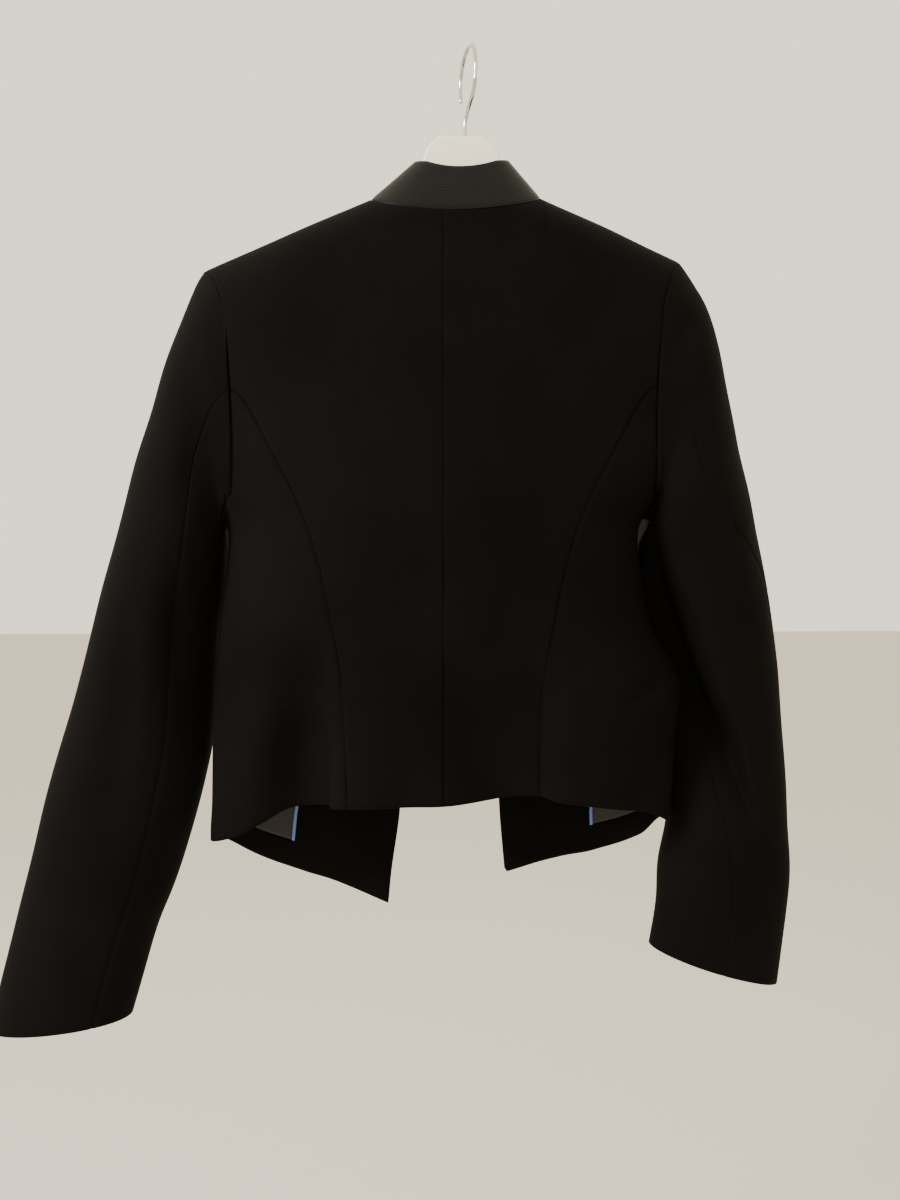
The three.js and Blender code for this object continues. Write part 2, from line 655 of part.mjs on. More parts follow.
// The stand collar runs from one front edge round the back of the neck to the other
function collarGrid(panels) {
  const neckOf = (panel, from) => listOf(neckSteps, (i) => panel[0][from + i]);
  const leftFront = neckOf(panels.left.front, shoulderSteps).reverse();
  const leftBack = neckOf(panels.left.back, 0).reverse().slice(1);
  const rightBack = neckOf(panels.right.back, 0).slice(1);
  const rightFront = neckOf(panels.right.front, shoulderSteps).slice(1);
  const seam = leftFront.concat(leftBack, rightBack, rightFront);
  const neckMiddle = (shoulders.left.neckX + shoulders.right.neckX) / 2;
  const points = listOf(collarRows, (row) => seam.map((spot) => {
    const foot = spot.point;
    const backShare = THREE.MathUtils.clamp(-foot.y / bodySections[0].back, 0, 1);
    const rise = mix(collarTop.riseSide, collarTop.riseBack, backShare ** 1.5);
    const head = new THREE.Vector3(
      collarTop.middle + (foot.x - neckMiddle) * collarTop.widthShare,
      foot.y * collarTop.depthShare,
      foot.z + rise,
    );
    const lifted = foot.clone().add(new THREE.Vector3(0, 0, seamGap + 0.1));
    return lifted.lerp(head, row / collarRows);
  }));
  const centres = points.map((line) => new THREE.Vector3(collarTop.middle, 0, line[0].z));
  return { grid: addNormals(points, centres, false), seam };
}

// A narrow strip along one column of a grid, for the piping between the facing and the lining
function stripGrid(grid, column, width) {
  return grid.map((line) => {
    const across = line[column + 1].point.clone().sub(line[column - 1].point).normalize();
    const { point, normal } = line[column];
    const beside = (share) => point.clone().addScaledVector(across, share * width);
    return [{ point: beside(-0.5), normal }, { point: beside(0.5), normal }];
  });
}

// The hanger's outline runs down the left of its neck, out along the left arm, back under both arms and up
function hangerGeometry() {
  const { left, right } = hangerEnd;
  const upper = (x) => -(shoulderDown(x) + hangerUnderCloth);
  const halfArm = hangerArmDepth / 2;
  const armSteps = 6;
  const shape = new THREE.Shape();
  shape.moveTo(hangerNeck.left[0].x, -hangerNeck.left[0].down);
  for (const { x, down } of hangerNeck.left.slice(1)) shape.lineTo(x, -down);
  for (let i = 0; i <= armSteps; i += 1) {
    const x = mix(hangerArmStart.left, left, i / armSteps);
    shape.lineTo(x, upper(x));
  }
  shape.quadraticCurveTo(left - hangerEndRound, upper(left) - halfArm, left, upper(left) - hangerArmDepth);
  const bow = hangerBowMiddle;
  shape.lineTo(hangerBowEnd.left, upper(hangerBowEnd.left) - hangerBowDepth);
  shape.quadraticCurveTo(
    bow.x,
    upper(bow.x) - bow.depth,
    hangerBowEnd.right,
    upper(hangerBowEnd.right) - hangerBowDepth,
  );
  shape.lineTo(right, upper(right) - hangerArmDepth);
  shape.quadraticCurveTo(right + hangerEndRound, upper(right) - halfArm, right, upper(right));
  for (let i = 1; i <= armSteps; i += 1) {
    const x = mix(right, hangerArmStart.right, i / armSteps);
    shape.lineTo(x, upper(x));
  }
  for (const { x, down } of hangerNeck.right) shape.lineTo(x, -down);
  const geometry = new THREE.ExtrudeGeometry(shape, {
    depth: hangerThickness - 2 * hangerRound,
    bevelEnabled: true,
    bevelSize: hangerRound,
    bevelThickness: hangerRound,
    bevelOffset: -hangerRound,
    bevelSegments: 2,
    curveSegments: 8,
  });
  geometry.rotateX(Math.PI / 2);
  geometry.translate(0, hangerThickness / 2 - hangerRound, 0);
  return geometry;
}

// The hook's wire rises from the hanger's neck, bends out to the belly and runs over the top to its tip
function hookGeometry() {
  const toBelly = new THREE.Vector3(Math.sin(hookTurn), -Math.cos(hookTurn), 0);
  const centreDown = hookRadius - hookWire / 2;
  const at = (out, down, x) => toBelly.clone().multiplyScalar(out).add(new THREE.Vector3(x, 0, -down));
  const points = [at(0, hangerTopDown - seamGap, hookStemX)];
  for (const { out, down, x } of hookBend) points.push(at(out, down, x));
  for (let angle = hookArc.from; angle <= hookArc.to; angle += hookArc.step) {
    const turn = radians(angle);
    points.push(at(hookRadius * Math.cos(turn), centreDown - hookRadius * Math.sin(turn), 0));
  }
  const last = points[points.length - 1];
  points.push(last.clone().add(new THREE.Vector3(hookTip.x, hookTip.y, -hookTip.down)));
  const section = new THREE.Shape();
  for (let i = 0; i < hookSides; i += 1) {
    const turn = (i / hookSides) * Math.PI * 2;
    const [x, y] = [(Math.cos(turn) * hookWire) / 2, (Math.sin(turn) * hookWire) / 2];
    if (i === 0) section.moveTo(x, y);
    else section.lineTo(x, y);
  }
  return new THREE.ExtrudeGeometry(section, {
    steps: hookSteps,
    extrudePath: new THREE.CatmullRomCurve3(points),
    bevelEnabled: false,
  });
}

const blazer = new THREE.Group();
function addPiece(name, geometry, material) {
  const mesh = new THREE.Mesh(geometry, material);
  mesh.name = name;
  blazer.add(mesh);
}

// Panels and sleeves of both sides, before their thickness
const halfGap = seamGap / 2;
const panels = {};
const sleeves = {};
for (const hand of [-1, 1]) {
  const seams = seamsOf(hand);
  panels[seams.name] = {
    back: backPanel(seams),
    sideBack: sideBackPanel(seams),
    front: frontPanel(seams),
  };
  panels[seams.name].frontInside = panels[seams.name].front.map(
    (line) => line.map(({ point, normal }) => ({ point: point.clone(), normal: normal.clone() })),
  );
  sleeves[seams.name] = sleeveGrid(seams, hand);
}
const collar = collarGrid(panels);
shareNormals(collar.grid[0].map((spot, i) => [spot, collar.seam[i]]));

for (const name of ['left', 'right']) {
  const { back, sideBack, front, frontInside } = panels[name];
  const ring = sleeves[name][0];
  const halfHole = armholeSteps / 2;
  const backColumn = back[0].length - 1;
  const around = [];
  for (let step = 0; step <= armholeSteps; step += 1) {
    const body = step <= halfHole ? back[step][backColumn] : sideBack[0][step - halfHole];
    around.push([body, ring[armholeSteps - step]]);
    around.push([front[step][0], ring[armholeSteps + step]]);
  }
  shareNormals(around);
  sideBack[0][0].normal.copy(back[halfHole][backColumn].normal);

  const sewn = { top: halfGap, first: halfGap, second: halfGap };
  addPiece(`back_${name}`, wallGeometry(drawnBack(back, sewn), clothThickness), materials.cloth);
  addPiece(`side_back_${name}`, wallGeometry(drawnBack(sideBack, sewn), clothThickness), materials.cloth);
  const frontSewn = { top: halfGap, first: halfGap };
  addPiece(`front_${name}`, wallGeometry(drawnBack(front, frontSewn), clothThickness), materials.cloth);

  // The facing follows the front edge and the hem, and the lining covers the rest of the front inside
  const hemRow = front.length - 2;
  const skinDepth = clothThickness + skinGap;
  const facing = drawnBack(frontInside, { first: freeInset, second: 1, bottom: 1 });
  addPiece(`facing_${name}`, wallGeometry(
    facing, liningThickness, skinDepth,
    (r, c) => (c >= facingColumn && r >= skinTopRow) || r >= hemRow,
  ), materials.cloth);
  const liningPart = frontInside.slice(skinTopRow, hemRow + 1).map((line) => line.slice(0, facingColumn + 1));
  const lining = drawnBack(liningPart, { first: freeInset, second: seamGap, bottom: seamGap });
  addPiece(`lining_${name}`, wallGeometry(lining, liningThickness, skinDepth), materials.lining);
  const pipingDepth = skinDepth + liningThickness + skinGap;
  const strip = stripGrid(frontInside.slice(skinTopRow, hemRow + 1), facingColumn, pipingWidth);
  addPiece(`piping_${name}`, wallGeometry(strip, liningThickness, pipingDepth), materials.piping);

  // A two-piece sleeve, cut at its back seam and its front seam
  const grid = sleeves[name];
  const quarter = armholeSteps / 2;
  const topPart = grid.map((line) => line.slice(quarter, quarter * 3 + 1));
  const underPart = grid.map((line) => line.slice(quarter * 3).concat(line.slice(1, quarter + 1)));
  const sleeveSewn = { first: sleeveSeamGap / 2, second: sleeveSeamGap / 2 };
  const topSleeve = wallGeometry(drawnBack(topPart, sleeveSewn), clothThickness);
  const underSleeve = wallGeometry(drawnBack(underPart, sleeveSewn), clothThickness);
  addPiece(`top_sleeve_${name}`, topSleeve, materials.cloth);
  addPiece(`under_sleeve_${name}`, underSleeve, materials.cloth);
}

addPiece('collar', wallGeometry(collar.grid, clothThickness), materials.collarCloth);
addPiece('hanger', hangerGeometry(), materials.plastic);
addPiece('hook', hookGeometry(), materials.chrome);

export default blazer;
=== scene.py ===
import math

import bpy
import numpy as np
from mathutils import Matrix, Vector


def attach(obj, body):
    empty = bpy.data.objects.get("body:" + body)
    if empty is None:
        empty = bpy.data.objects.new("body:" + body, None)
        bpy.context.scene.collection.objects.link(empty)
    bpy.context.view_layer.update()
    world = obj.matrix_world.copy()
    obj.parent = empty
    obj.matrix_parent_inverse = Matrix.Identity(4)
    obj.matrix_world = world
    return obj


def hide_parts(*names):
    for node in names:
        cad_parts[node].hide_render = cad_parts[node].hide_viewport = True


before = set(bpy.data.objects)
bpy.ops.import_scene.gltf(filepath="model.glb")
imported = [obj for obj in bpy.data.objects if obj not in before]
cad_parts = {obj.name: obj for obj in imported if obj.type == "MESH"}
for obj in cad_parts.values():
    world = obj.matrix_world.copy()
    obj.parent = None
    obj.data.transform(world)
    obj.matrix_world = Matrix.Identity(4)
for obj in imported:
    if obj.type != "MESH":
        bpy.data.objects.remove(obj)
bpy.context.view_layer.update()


# View and light
# The garment hangs clear of a pale floor, in plain soft studio light from the upper left.
# The camera stands level with its middle, a little to the left, and looks slightly to the right and down.
millimetre = 0.001


def linear(colour):
    """An sRGB hex colour as linear red, green, blue and alpha."""
    parts = [((colour >> shift) & 255) / 255 for shift in (16, 8, 0)]
    return [p / 12.92 if p <= 0.04045 else ((p + 0.055) / 1.055) ** 2.4 for p in parts] + [1.0]


def add_node(owner, kind, inputs=None, **settings):
    """Adds a node to a material or tree, with its settings, and its inputs as values or as links."""
    tree = getattr(owner, "node_tree", None) or owner
    node = tree.nodes.new(kind)
    for name, value in settings.items():
        setattr(node, name, value)
    for name, value in (inputs or {}).items():
        if isinstance(value, bpy.types.NodeSocket):
            tree.links.new(value, node.inputs[name])
        else:
            node.inputs[name].default_value = value
    return node


def new_material(name):
    """An empty node material with its output node."""
    material = bpy.data.materials.new(name)
    material.use_nodes = True
    material.node_tree.nodes.clear()
    return material


def finish_material(material, look):
    """Ends a material in a principled shader with the given inputs."""
    shader = add_node(material, "ShaderNodeBsdfPrincipled", look)
    add_node(material, "ShaderNodeOutputMaterial", {"Surface": shader.outputs["BSDF"]})
    return material


def put_in_scene(name, data):
    """A new object of the scene with the given mesh, curve, camera or light."""
    made = bpy.data.objects.new(name, data)
    bpy.context.scene.collection.objects.link(made)
    return made


camera_place = Vector((-48.0, -763.0, -417.3))
camera_down_angle = 2.52
camera_right_angle = 2.5
camera_data = bpy.data.cameras.new("studio_camera")
camera_data.sensor_width = 36.0
camera_data.lens = 27.24
camera_data.clip_start = 0.05
camera = put_in_scene("studio_camera", camera_data)
camera.location = camera_place * millimetre
camera.rotation_euler = (math.radians(90 - camera_down_angle), 0, math.radians(-camera_right_angle))
bpy.context.scene.camera = camera

world = bpy.data.worlds.new("pale_studio")
bpy.context.scene.world = world
world.use_nodes = True
world.node_tree.nodes["Background"].inputs["Color"].default_value = linear(0xEDE3CE)
world.node_tree.nodes["Background"].inputs["Strength"].default_value = 2.0


def add_softbox(name, place, aim, size, power):
    """A square area light aimed from one place at another. Sizes are in metres and the power in watts."""
    data = bpy.data.lights.new(name, "AREA")
    data.shape = "SQUARE"
    data.size = size
    data.energy = power
    light = put_in_scene(name, data)
    light.location = place
    light.rotation_euler = (Vector(aim) - Vector(place)).to_track_quat("-Z", "Y").to_euler()


add_softbox("key_softbox", (-2.2, -1.2, 0.6), (0, 0, -0.35), 0.7, 105)
add_softbox("fill_softbox", (0.2, -2.3, 0.3), (0, 0, -0.4), 1.2, 6)
add_softbox("back_softbox", (0.4, 2.2, 0.9), (0, 0, -0.4), 1.6, 12)

floor_down = 1.6
floor_reach = 14.0
floor_mesh = bpy.data.meshes.new("studio_floor")
floor_corners = [
    (x * floor_reach, y * floor_reach, -floor_down) for x, y in ((-1, -1), (1, -1), (1, 1), (-1, 1))
]
floor_mesh.from_pydata(floor_corners, [], [(0, 1, 2, 3)])
floor = put_in_scene("studio_floor", floor_mesh)
floor_paint = new_material("matt_floor_paint")
floor_mesh.materials.append(finish_material(floor_paint, {
    "Base Color": linear(0xD2CDC4), "Roughness": 0.95, "Specular IOR Level": 0.1,
}))


# Hook
# Round steel wire, bent to a hook and chromed, set in the top of the hanger's neck.
# It is turned a little about its stem, so that its belly leans towards the right.
hook_wire = 3.4
hook_radius = 22
hook_turn = math.radians(13)
hook_stem_x = -2.2
hook_steps = 8
hook_clearance = 0.3
hanger_top_down = 70
hook_bend = [
    {"out": 0, "down": hanger_top_down - hook_clearance, "x": hook_stem_x},
    {"out": 0, "down": 58, "x": hook_stem_x},
    {"out": 5, "down": 49, "x": -1},
    {"out": 14, "down": 41, "x": 0},
    {"out": 20, "down": 33, "x": 0},
]
hook_arc = range(-15, 196, 15)
hook_tip = np.array([0.5, -1, -7])


def smooth_path(points, steps):
    """More points on a smooth curve that runs through the given ones."""
    points = np.array(points, float)
    before = np.vstack([2 * points[0] - points[1], points[:-1]])
    after = np.vstack([points[1:], 2 * points[-1] - points[-2]])
    slopes = (after - before) / 2
    path = []
    for i in range(len(points) - 1):
        for t in np.linspace(0, 1, steps, endpoint=False):
            rise = t * t * (3 - 2 * t)
            spot = points[i] + (points[i + 1] - points[i]) * rise
            path.append(spot + slopes[i] * t * (1 - t) ** 2 - slopes[i + 1] * t * t * (1 - t))
    path.append(points[-1])
    return np.array(path)


def poly_curve(name, lines):
    """A curve of straight steps along each line of points, given in millimetres."""
    curve = bpy.data.curves.new(name, "CURVE")
    curve.dimensions = "3D"
    for line in lines:
        spline = curve.splines.new("POLY")
        spline.points.add(len(line) - 1)
        spots = np.pad(line * millimetre, ((0, 0), (0, 1)), constant_values=1)
        spline.points.foreach_set("co", spots.ravel())
    return curve


def hook_place(out, down, x):
    return np.array([x + out * math.sin(hook_turn), -out * math.cos(hook_turn), -down])


hook_points = [hook_place(**bend) for bend in hook_bend]
for angle in hook_arc:
    arc_out = hook_radius * math.cos(math.radians(angle))
    arc_down = hook_radius - hook_wire / 2 - hook_radius * math.sin(math.radians(angle))
    hook_points.append(hook_place(arc_out, arc_down, 0))
hook_points.append(hook_points[-1] + hook_tip)
hook_path = smooth_path(hook_points, hook_steps)
hook_curve = poly_curve("hook_wire", [hook_path])
hook_curve.bevel_depth = hook_wire / 2 * millimetre
hook_curve.bevel_resolution = 5
hook_curve.use_fill_caps = True
# The wire's cut end is rounded: these are shares of its radius, from the tip back
tip_rounding = [0.25, 0.62, 0.85, 0.96]
for from_tip, share in enumerate(tip_rounding):
    hook_curve.splines[0].points[len(hook_path) - 1 - from_tip].radius = share
hook_source = put_in_scene("hook_source", hook_curve)


def mesh_from(source, name):
    """The evaluated shape of an object as a plain mesh object, and the source taken away."""
    graph = bpy.context.evaluated_depsgraph_get()
    mesh = bpy.data.meshes.new_from_object(source.evaluated_get(graph))
    mesh.name = name
    bpy.data.objects.remove(source)
    return put_in_scene(name, mesh)


hook = mesh_from(hook_source, "hook_wire")
hook.data.shade_smooth()


def place_in(material):
    """A point's place in its object, for a texture that runs through the material."""
    return add_node(material, "ShaderNodeTexCoord").outputs["Object"]


def add_noise(material, vector, scale, detail, roughness=0.5):
    """A cloudy texture from 0 to 1."""
    inputs = {"Vector": vector, "Scale": scale, "Detail": detail, "Roughness": roughness}
    return add_node(material, "ShaderNodeTexNoise", inputs).outputs["Fac"]


def add_range(material, value, **ends):
    """A texture's value brought from one range to another, both 0 to 1 where no end is given."""
    names = {"low": "From Min", "high": "From Max", "least": "To Min", "most": "To Max"}
    inputs = {names[end]: number for end, number in ends.items()}
    return add_node(material, "ShaderNodeMapRange", {"Value": value, **inputs}).outputs["Result"]


# Chromed steel: bright, with faint draw marks along the wire that soften its highlights
chrome = new_material("chromed_steel_wire")
chrome_marks = add_noise(chrome, place_in(chrome), 900, 3)
hook.data.materials.clear()
hook.data.materials.append(finish_material(chrome, {
    "Base Color": linear(0xC9C8C6), "Metallic": 1.0,
    "Roughness": add_range(chrome, chrome_marks, least=0.1, most=0.24),
}))
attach(hook, "root")
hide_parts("hook")


# Hanger
# Flat white hanger moulded in one piece, with rounded edges and a narrow neck that shows above the collar.
# Its arms carry the shoulders from inside, and the stem of the hook is moulded into its neck.
hanger_thickness = 10
hanger_under_cloth = 4.2
hanger_round = 2.4
hanger_end = {"left": -196, "right": 162}
hanger_arm_start = {"left": -84, "right": 64}
hanger_arm_depth = 26
hanger_end_round = 10
hanger_bow_end = {"left": -128, "right": 106}
hanger_bow_depth = 34
hanger_bow_middle = {"x": -10, "depth": 88}
hanger_bow_steps = 20
hanger_arm_points = 9
hanger_neck_left = [(-24, 70), (-34, 79), (-38, 93), (-46, 105), (-66, 124)]
hanger_neck_right = [(43, 120), (33, 107), (28.5, 93), (23, 77), (13, 70)]
shoulders = {
    "left": {"neck_x": -79, "neck_down": 125, "point_x": -214, "point_down": 182, "underarm_down": 385},
    "right": {"neck_x": 58, "neck_down": 122, "point_x": 179, "point_down": 171, "underarm_down": 383},
}


def mix(a, b, share):
    return a + (b - a) * share


def shoulder_down(x):
    """How far down the shoulder line lies at an x, carried on straight past the neck."""
    left, right = shoulders["left"], shoulders["right"]
    slope_left = (left["point_down"] - left["neck_down"]) / (left["neck_x"] - left["point_x"])
    slope_right = (right["point_down"] - right["neck_down"]) / (right["point_x"] - right["neck_x"])
    on_left = left["neck_down"] - slope_left * (x - left["neck_x"])
    on_right = right["neck_down"] + slope_right * (x - right["neck_x"])
    return np.maximum(on_left, on_right)


def arm_top(x):
    return shoulder_down(x) + hanger_under_cloth


def bend_between(start, control, end, steps=8):
    """Points on a parabola from start to end, without the start."""
    shares = np.linspace(0, 1, steps + 1)[1:, None]
    start, control, end = (np.array(p, float) for p in (start, control, end))
    return (1 - shares) ** 2 * start + 2 * shares * (1 - shares) * control + shares ** 2 * end


def rounded_corners(points, passes=2):
    """Cuts the corners of an open line, and keeps its two ends."""
    points = np.array(points, float)
    for _ in range(passes):
        cut = [points[0]]
        for a, b in zip(points[:-1], points[1:]):
            cut += [mix(a, b, 0.25), mix(a, b, 0.75)]
        points = np.array(cut + [points[-1]])
    return points


outline = list(rounded_corners(hanger_neck_left))
for x in np.linspace(hanger_arm_start["left"], hanger_end["left"], hanger_arm_points):
    outline.append((x, arm_top(x)))
end_x = hanger_end["left"]
outline += list(bend_between(
    outline[-1], (end_x - hanger_end_round, arm_top(end_x) + hanger_arm_depth / 2),
    (end_x, arm_top(end_x) + hanger_arm_depth),
))
bow_left, bow_right = hanger_bow_end["left"], hanger_bow_end["right"]
outline.append((bow_left, arm_top(bow_left) + hanger_bow_depth))
bow_x = hanger_bow_middle["x"]
outline += list(bend_between(
    outline[-1], (bow_x, arm_top(bow_x) + hanger_bow_middle["depth"]),
    (bow_right, arm_top(bow_right) + hanger_bow_depth), hanger_bow_steps,
))
end_x = hanger_end["right"]
outline.append((end_x, arm_top(end_x) + hanger_arm_depth))
outline += list(bend_between(
    outline[-1], (end_x + hanger_end_round, arm_top(end_x) + hanger_arm_depth / 2),
    (end_x, arm_top(end_x)),
))
for x in np.linspace(hanger_end["right"], hanger_arm_start["right"], hanger_arm_points)[1:]:
    outline.append((x, arm_top(x)))
outline += list(rounded_corners(hanger_neck_right))
count = len(outline)
hanger_verts = [
    (x * millimetre, y * hanger_thickness / 2 * millimetre, -down * millimetre)
    for y in (-1, 1) for x, down in outline
]
hanger_faces = [tuple(range(count)), tuple(range(2 * count - 1, count - 1, -1))]
hanger_faces += [((i + 1) % count, i, i + count, (i + 1) % count + count) for i in range(count)]
hanger_mesh = bpy.data.meshes.new("hanger_moulding")
hanger_mesh.from_pydata(hanger_verts, [], hanger_faces)
hanger = put_in_scene("hanger_moulding", hanger_mesh)
hanger_mesh.shade_smooth()
edge_rounding = hanger.modifiers.new("edge_rounding", "BEVEL")
edge_rounding.width = hanger_round * millimetre
edge_rounding.segments = 4
edge_rounding.limit_method = "ANGLE"
edge_rounding.angle_limit = math.radians(50)
edge_rounding.harden_normals = True


def add_bump(material, height, strength, distance):
    """Directions of a surface with small heights on it, the distance in metres."""
    inputs = {"Height": height, "Strength": strength, "Distance": distance}
    return add_node(material, "ShaderNodeBump", inputs).outputs["Normal"]


def tint_between(material, share, first, second):
    """A colour that goes from one hex colour to another with a texture."""
    inputs = {0: share, 6: linear(first), 7: linear(second)}
    return add_node(material, "ShaderNodeMix", inputs, data_type="RGBA").outputs[2]


# Injection-moulded polystyrene: warm white, softly glossy, with the faint ripple and scuffs of a used hanger
plastic = new_material("moulded_polystyrene")
plastic_ripple = add_noise(plastic, place_in(plastic), 70, 2)
plastic_scuffs = add_noise(plastic, place_in(plastic), 600, 4, 0.7)
hanger_mesh.materials.append(finish_material(plastic, {
    "Base Color": tint_between(plastic, plastic_ripple, 0xF8F3DF, 0xF3EDD6),
    "Roughness": add_range(plastic, plastic_scuffs, low=0.35, high=0.7, least=0.3, most=0.5), "IOR": 1.59,
    "Subsurface Weight": 0.08, "Subsurface Scale": 0.004,
    "Normal": add_bump(plastic, plastic_ripple, 0.15, 0.0008),
}))
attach(hanger, "root")
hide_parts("hanger")


# Form of the body
# The cloth hangs from the shoulders as a flattened tube, fuller at the shoulder blades and close below them.
# Sizes are the real garment's, in millimetres, and down is the distance below the rail.
body_middle = -20
seam_middle = -22
shoulder_round = 40
fullness = 0.8
body_sections = {
    "down": [95, 180, 260, 330, 365, 385, 417, 470, 516, 562, 620, 645, 735],
    "middle": [-20, -20, -20, -21, -23, -26, -27, -26, -15, -18, -20, -22.5, -22.5],
    "half": [206, 212, 210, 201, 187, 173, 172, 180, 195, 195, 194, 193, 193],
    "back": [47, 54, 58, 60, 60, 59, 57, 54, 52, 51, 52, 52, 53],
    "front": [45, 50, 54, 56, 56, 56, 56, 55, 55, 56, 57, 57, 58],
}
# The folds of the back deepen from where they start to the hem
back_folds = [
    {"top_x": -124, "top_down": 440, "hem_x": -140, "depth": 15, "left": 27, "right": 20},
    {"top_x": -92, "top_down": 500, "hem_x": -92, "depth": -5, "left": 22, "right": 30},
    {"top_x": -30, "top_down": 470, "hem_x": 26, "depth": 13, "left": 30, "right": 34},
    {"top_x": 100, "top_down": 520, "hem_x": 112, "depth": -3, "left": 30, "right": 24},
]
folds_end = 612
quarter_turn = math.pi / 2 * shoulder_round


def ease(share):
    share = np.clip(share, 0, 1)
    return share * share * (3 - 2 * share)


def unit(vectors):
    """The same directions, each of length 1."""
    return vectors / np.maximum(np.linalg.norm(vectors, axis=-1, keepdims=True), 1e-9)


def read_table(table, key, column, value):
    """Reads a column of a table at a value of its key column, on a smooth curve through the rows."""
    keys = np.array(table[key], float)
    values = np.array(table[column], float)
    before = np.maximum(np.arange(len(keys)) - 1, 0)
    after = np.minimum(np.arange(len(keys)) + 1, len(keys) - 1)
    slopes = (values[after] - values[before]) / (keys[after] - keys[before])
    i = np.clip(np.searchsorted(keys, value) - 1, 0, len(keys) - 2)
    width = keys[i + 1] - keys[i]
    t = np.clip((value - keys[i]) / width, 0, 1)
    bend = slopes[i] * t * (1 - t) ** 2 - slopes[i + 1] * t * t * (1 - t)
    return mix(values[i], values[i + 1], ease(t)) + width * bend


def body_at(column, down):
    return read_table(body_sections, "down", column, down)


def drop_of(along):
    """The drop below the shoulder line, at a distance down the cloth."""
    rolled = shoulder_round * (1 - np.cos(np.minimum(along, quarter_turn) / shoulder_round))
    return rolled + np.maximum(along - quarter_turn, 0)


def along_of(drop):
    rolled = np.clip(1 - drop / shoulder_round, 0, 1)
    return shoulder_round * np.arccos(rolled) + np.maximum(drop - shoulder_round, 0)


def fold_push(x, down):
    """How far the folds of the back push the cloth in."""
    push = np.zeros_like(x)
    for fold in back_folds:
        share = np.clip((down - fold["top_down"]) / (folds_end - fold["top_down"]), 0, 1)
        line = mix(fold["top_x"], fold["hem_x"], share)
        width = np.where(x < line, fold["left"], fold["right"])
        push += fold["depth"] * ease(share) * np.exp(-((x - line) / width) ** 2)
    return push


def body_point(places, side):
    """Points of the cloth's outer face, at places of turn round the body and distance down the cloth."""
    turn, along = places[..., 0], places[..., 1]
    x = np.full(turn.shape, float(body_middle))
    for _ in range(40):
        down = shoulder_down(x) + drop_of(along)
        half = body_at("half", down)
        x = body_at("middle", down) + half * np.sin(turn)
    reach = body_at("back" if side < 0 else "front", down)
    taper = np.maximum(np.cos(turn), 0) ** fullness
    roll = np.sin(np.minimum(along, quarter_turn) / shoulder_round)
    y = side * reach * taper * roll
    if side < 0:
        y = y + fold_push(x, down) * np.minimum(1, taper * 2)
    return np.stack([x, y, -down], axis=-1)


# The cloth's direction is taken between points this far to each side of a place. Which side is out is told
# mainly from behind and above, with little weight sideways, so that a steep fold isn't turned inside out.
near_turn = 0.012
near_along = 0.6
sideways_weight = 0.2


def body_normals(places, side):
    """Directions out of the cloth at places, from points a little to each side."""
    turn, along = places[..., 0], places[..., 1]

    def beside(turn_step, along_step):
        moved_turn = np.clip(turn + turn_step, -math.pi / 2, math.pi / 2)
        return body_point(np.stack([moved_turn, np.maximum(along + along_step, 0)], axis=-1), side)

    round_body = beside(near_turn, 0) - beside(-near_turn, 0)
    down_cloth = beside(0, near_along) - beside(0, -near_along)
    normal = unit(np.cross(round_body, down_cloth))
    point = body_point(places, side)
    sideways = (point[..., 0] - body_middle) * sideways_weight
    outward = np.stack([sideways, point[..., 1], 0 * turn + shoulder_round], axis=-1)
    return np.where((normal * outward).sum(-1, keepdims=True) < 0, -normal, normal)


def place_at(x, down):
    """The turn and the distance down the cloth of an x and a distance down."""
    half = body_at("half", down)
    middle = body_at("middle", down)
    sine = np.clip((x - middle) / half, -1, 1)
    return np.stack([np.arcsin(sine), along_of(down - shoulder_down(x))], axis=-1)


# Seam lines and edges
# The body is cut in six: two backs with a seam in the middle, two side backs beyond the curved back seams,
# and two fronts that wrap round the sides. Each line is given as places from top to bottom.
armhole_line = {
    "share": [0, 0.07, 0.18, 0.3, 0.5, 0.7, 0.9],
    "out": [196, 184, 176, 173, 170.5, 170, 172],
}
armhole_below_shoulder = 0.5
underarm_share = 0.9
underarm_roundness = 0.6
princess_top_share = 0.5
princess_line = {
    "down": [277, 296, 333, 369, 413, 472, 522, 620],
    "out": [169, 154.5, 134.5, 116, 100.5, 88, 81, 77],
}
back_hem = {
    "x": [-216, -190, -170, -145, -100, -22, 40, 75, 117, 150, 171],
    "down": [651, 641, 631, 620, 614, 613, 611, 613, 619, 626, 638],
}
front_hem = {
    "left": {"x": [-216, -184, -144, -116, -69], "down": [651, 676, 696, 707, 730]},
    "right": {"x": [40, 90, 117, 156, 171], "down": [702, 686, 679, 660, 638]},
}
front_edge = {"down": [165, 640, 700, 730], "left": [-30, -58, -66, -69], "right": [10, 33, 38, 41]}
neck_front_down = 166
neck_back_down = 147
neck_back_middle = -22
neck_roundness = {"back": 0.4, "front": 0.9}
neck_spread = math.radians(70)
neck_samples = 400
cloth_per_turn = 200.0
hands = {"left": -1, "right": 1}


def back_hem_down(x):
    return read_table(back_hem, "x", "down", x)


def side_x(name, down):
    half = body_at("half", down)
    return body_at("middle", down) + hands[name] * half


def side_hem(name):
    at = 0 if name == "left" else -1
    return back_hem["down"][at]


def at_side(name, down):
    turn = hands[name] * math.pi / 2 + 0 * down
    return np.stack([turn, along_of(down - shoulder_down(side_x(name, down)))], -1)


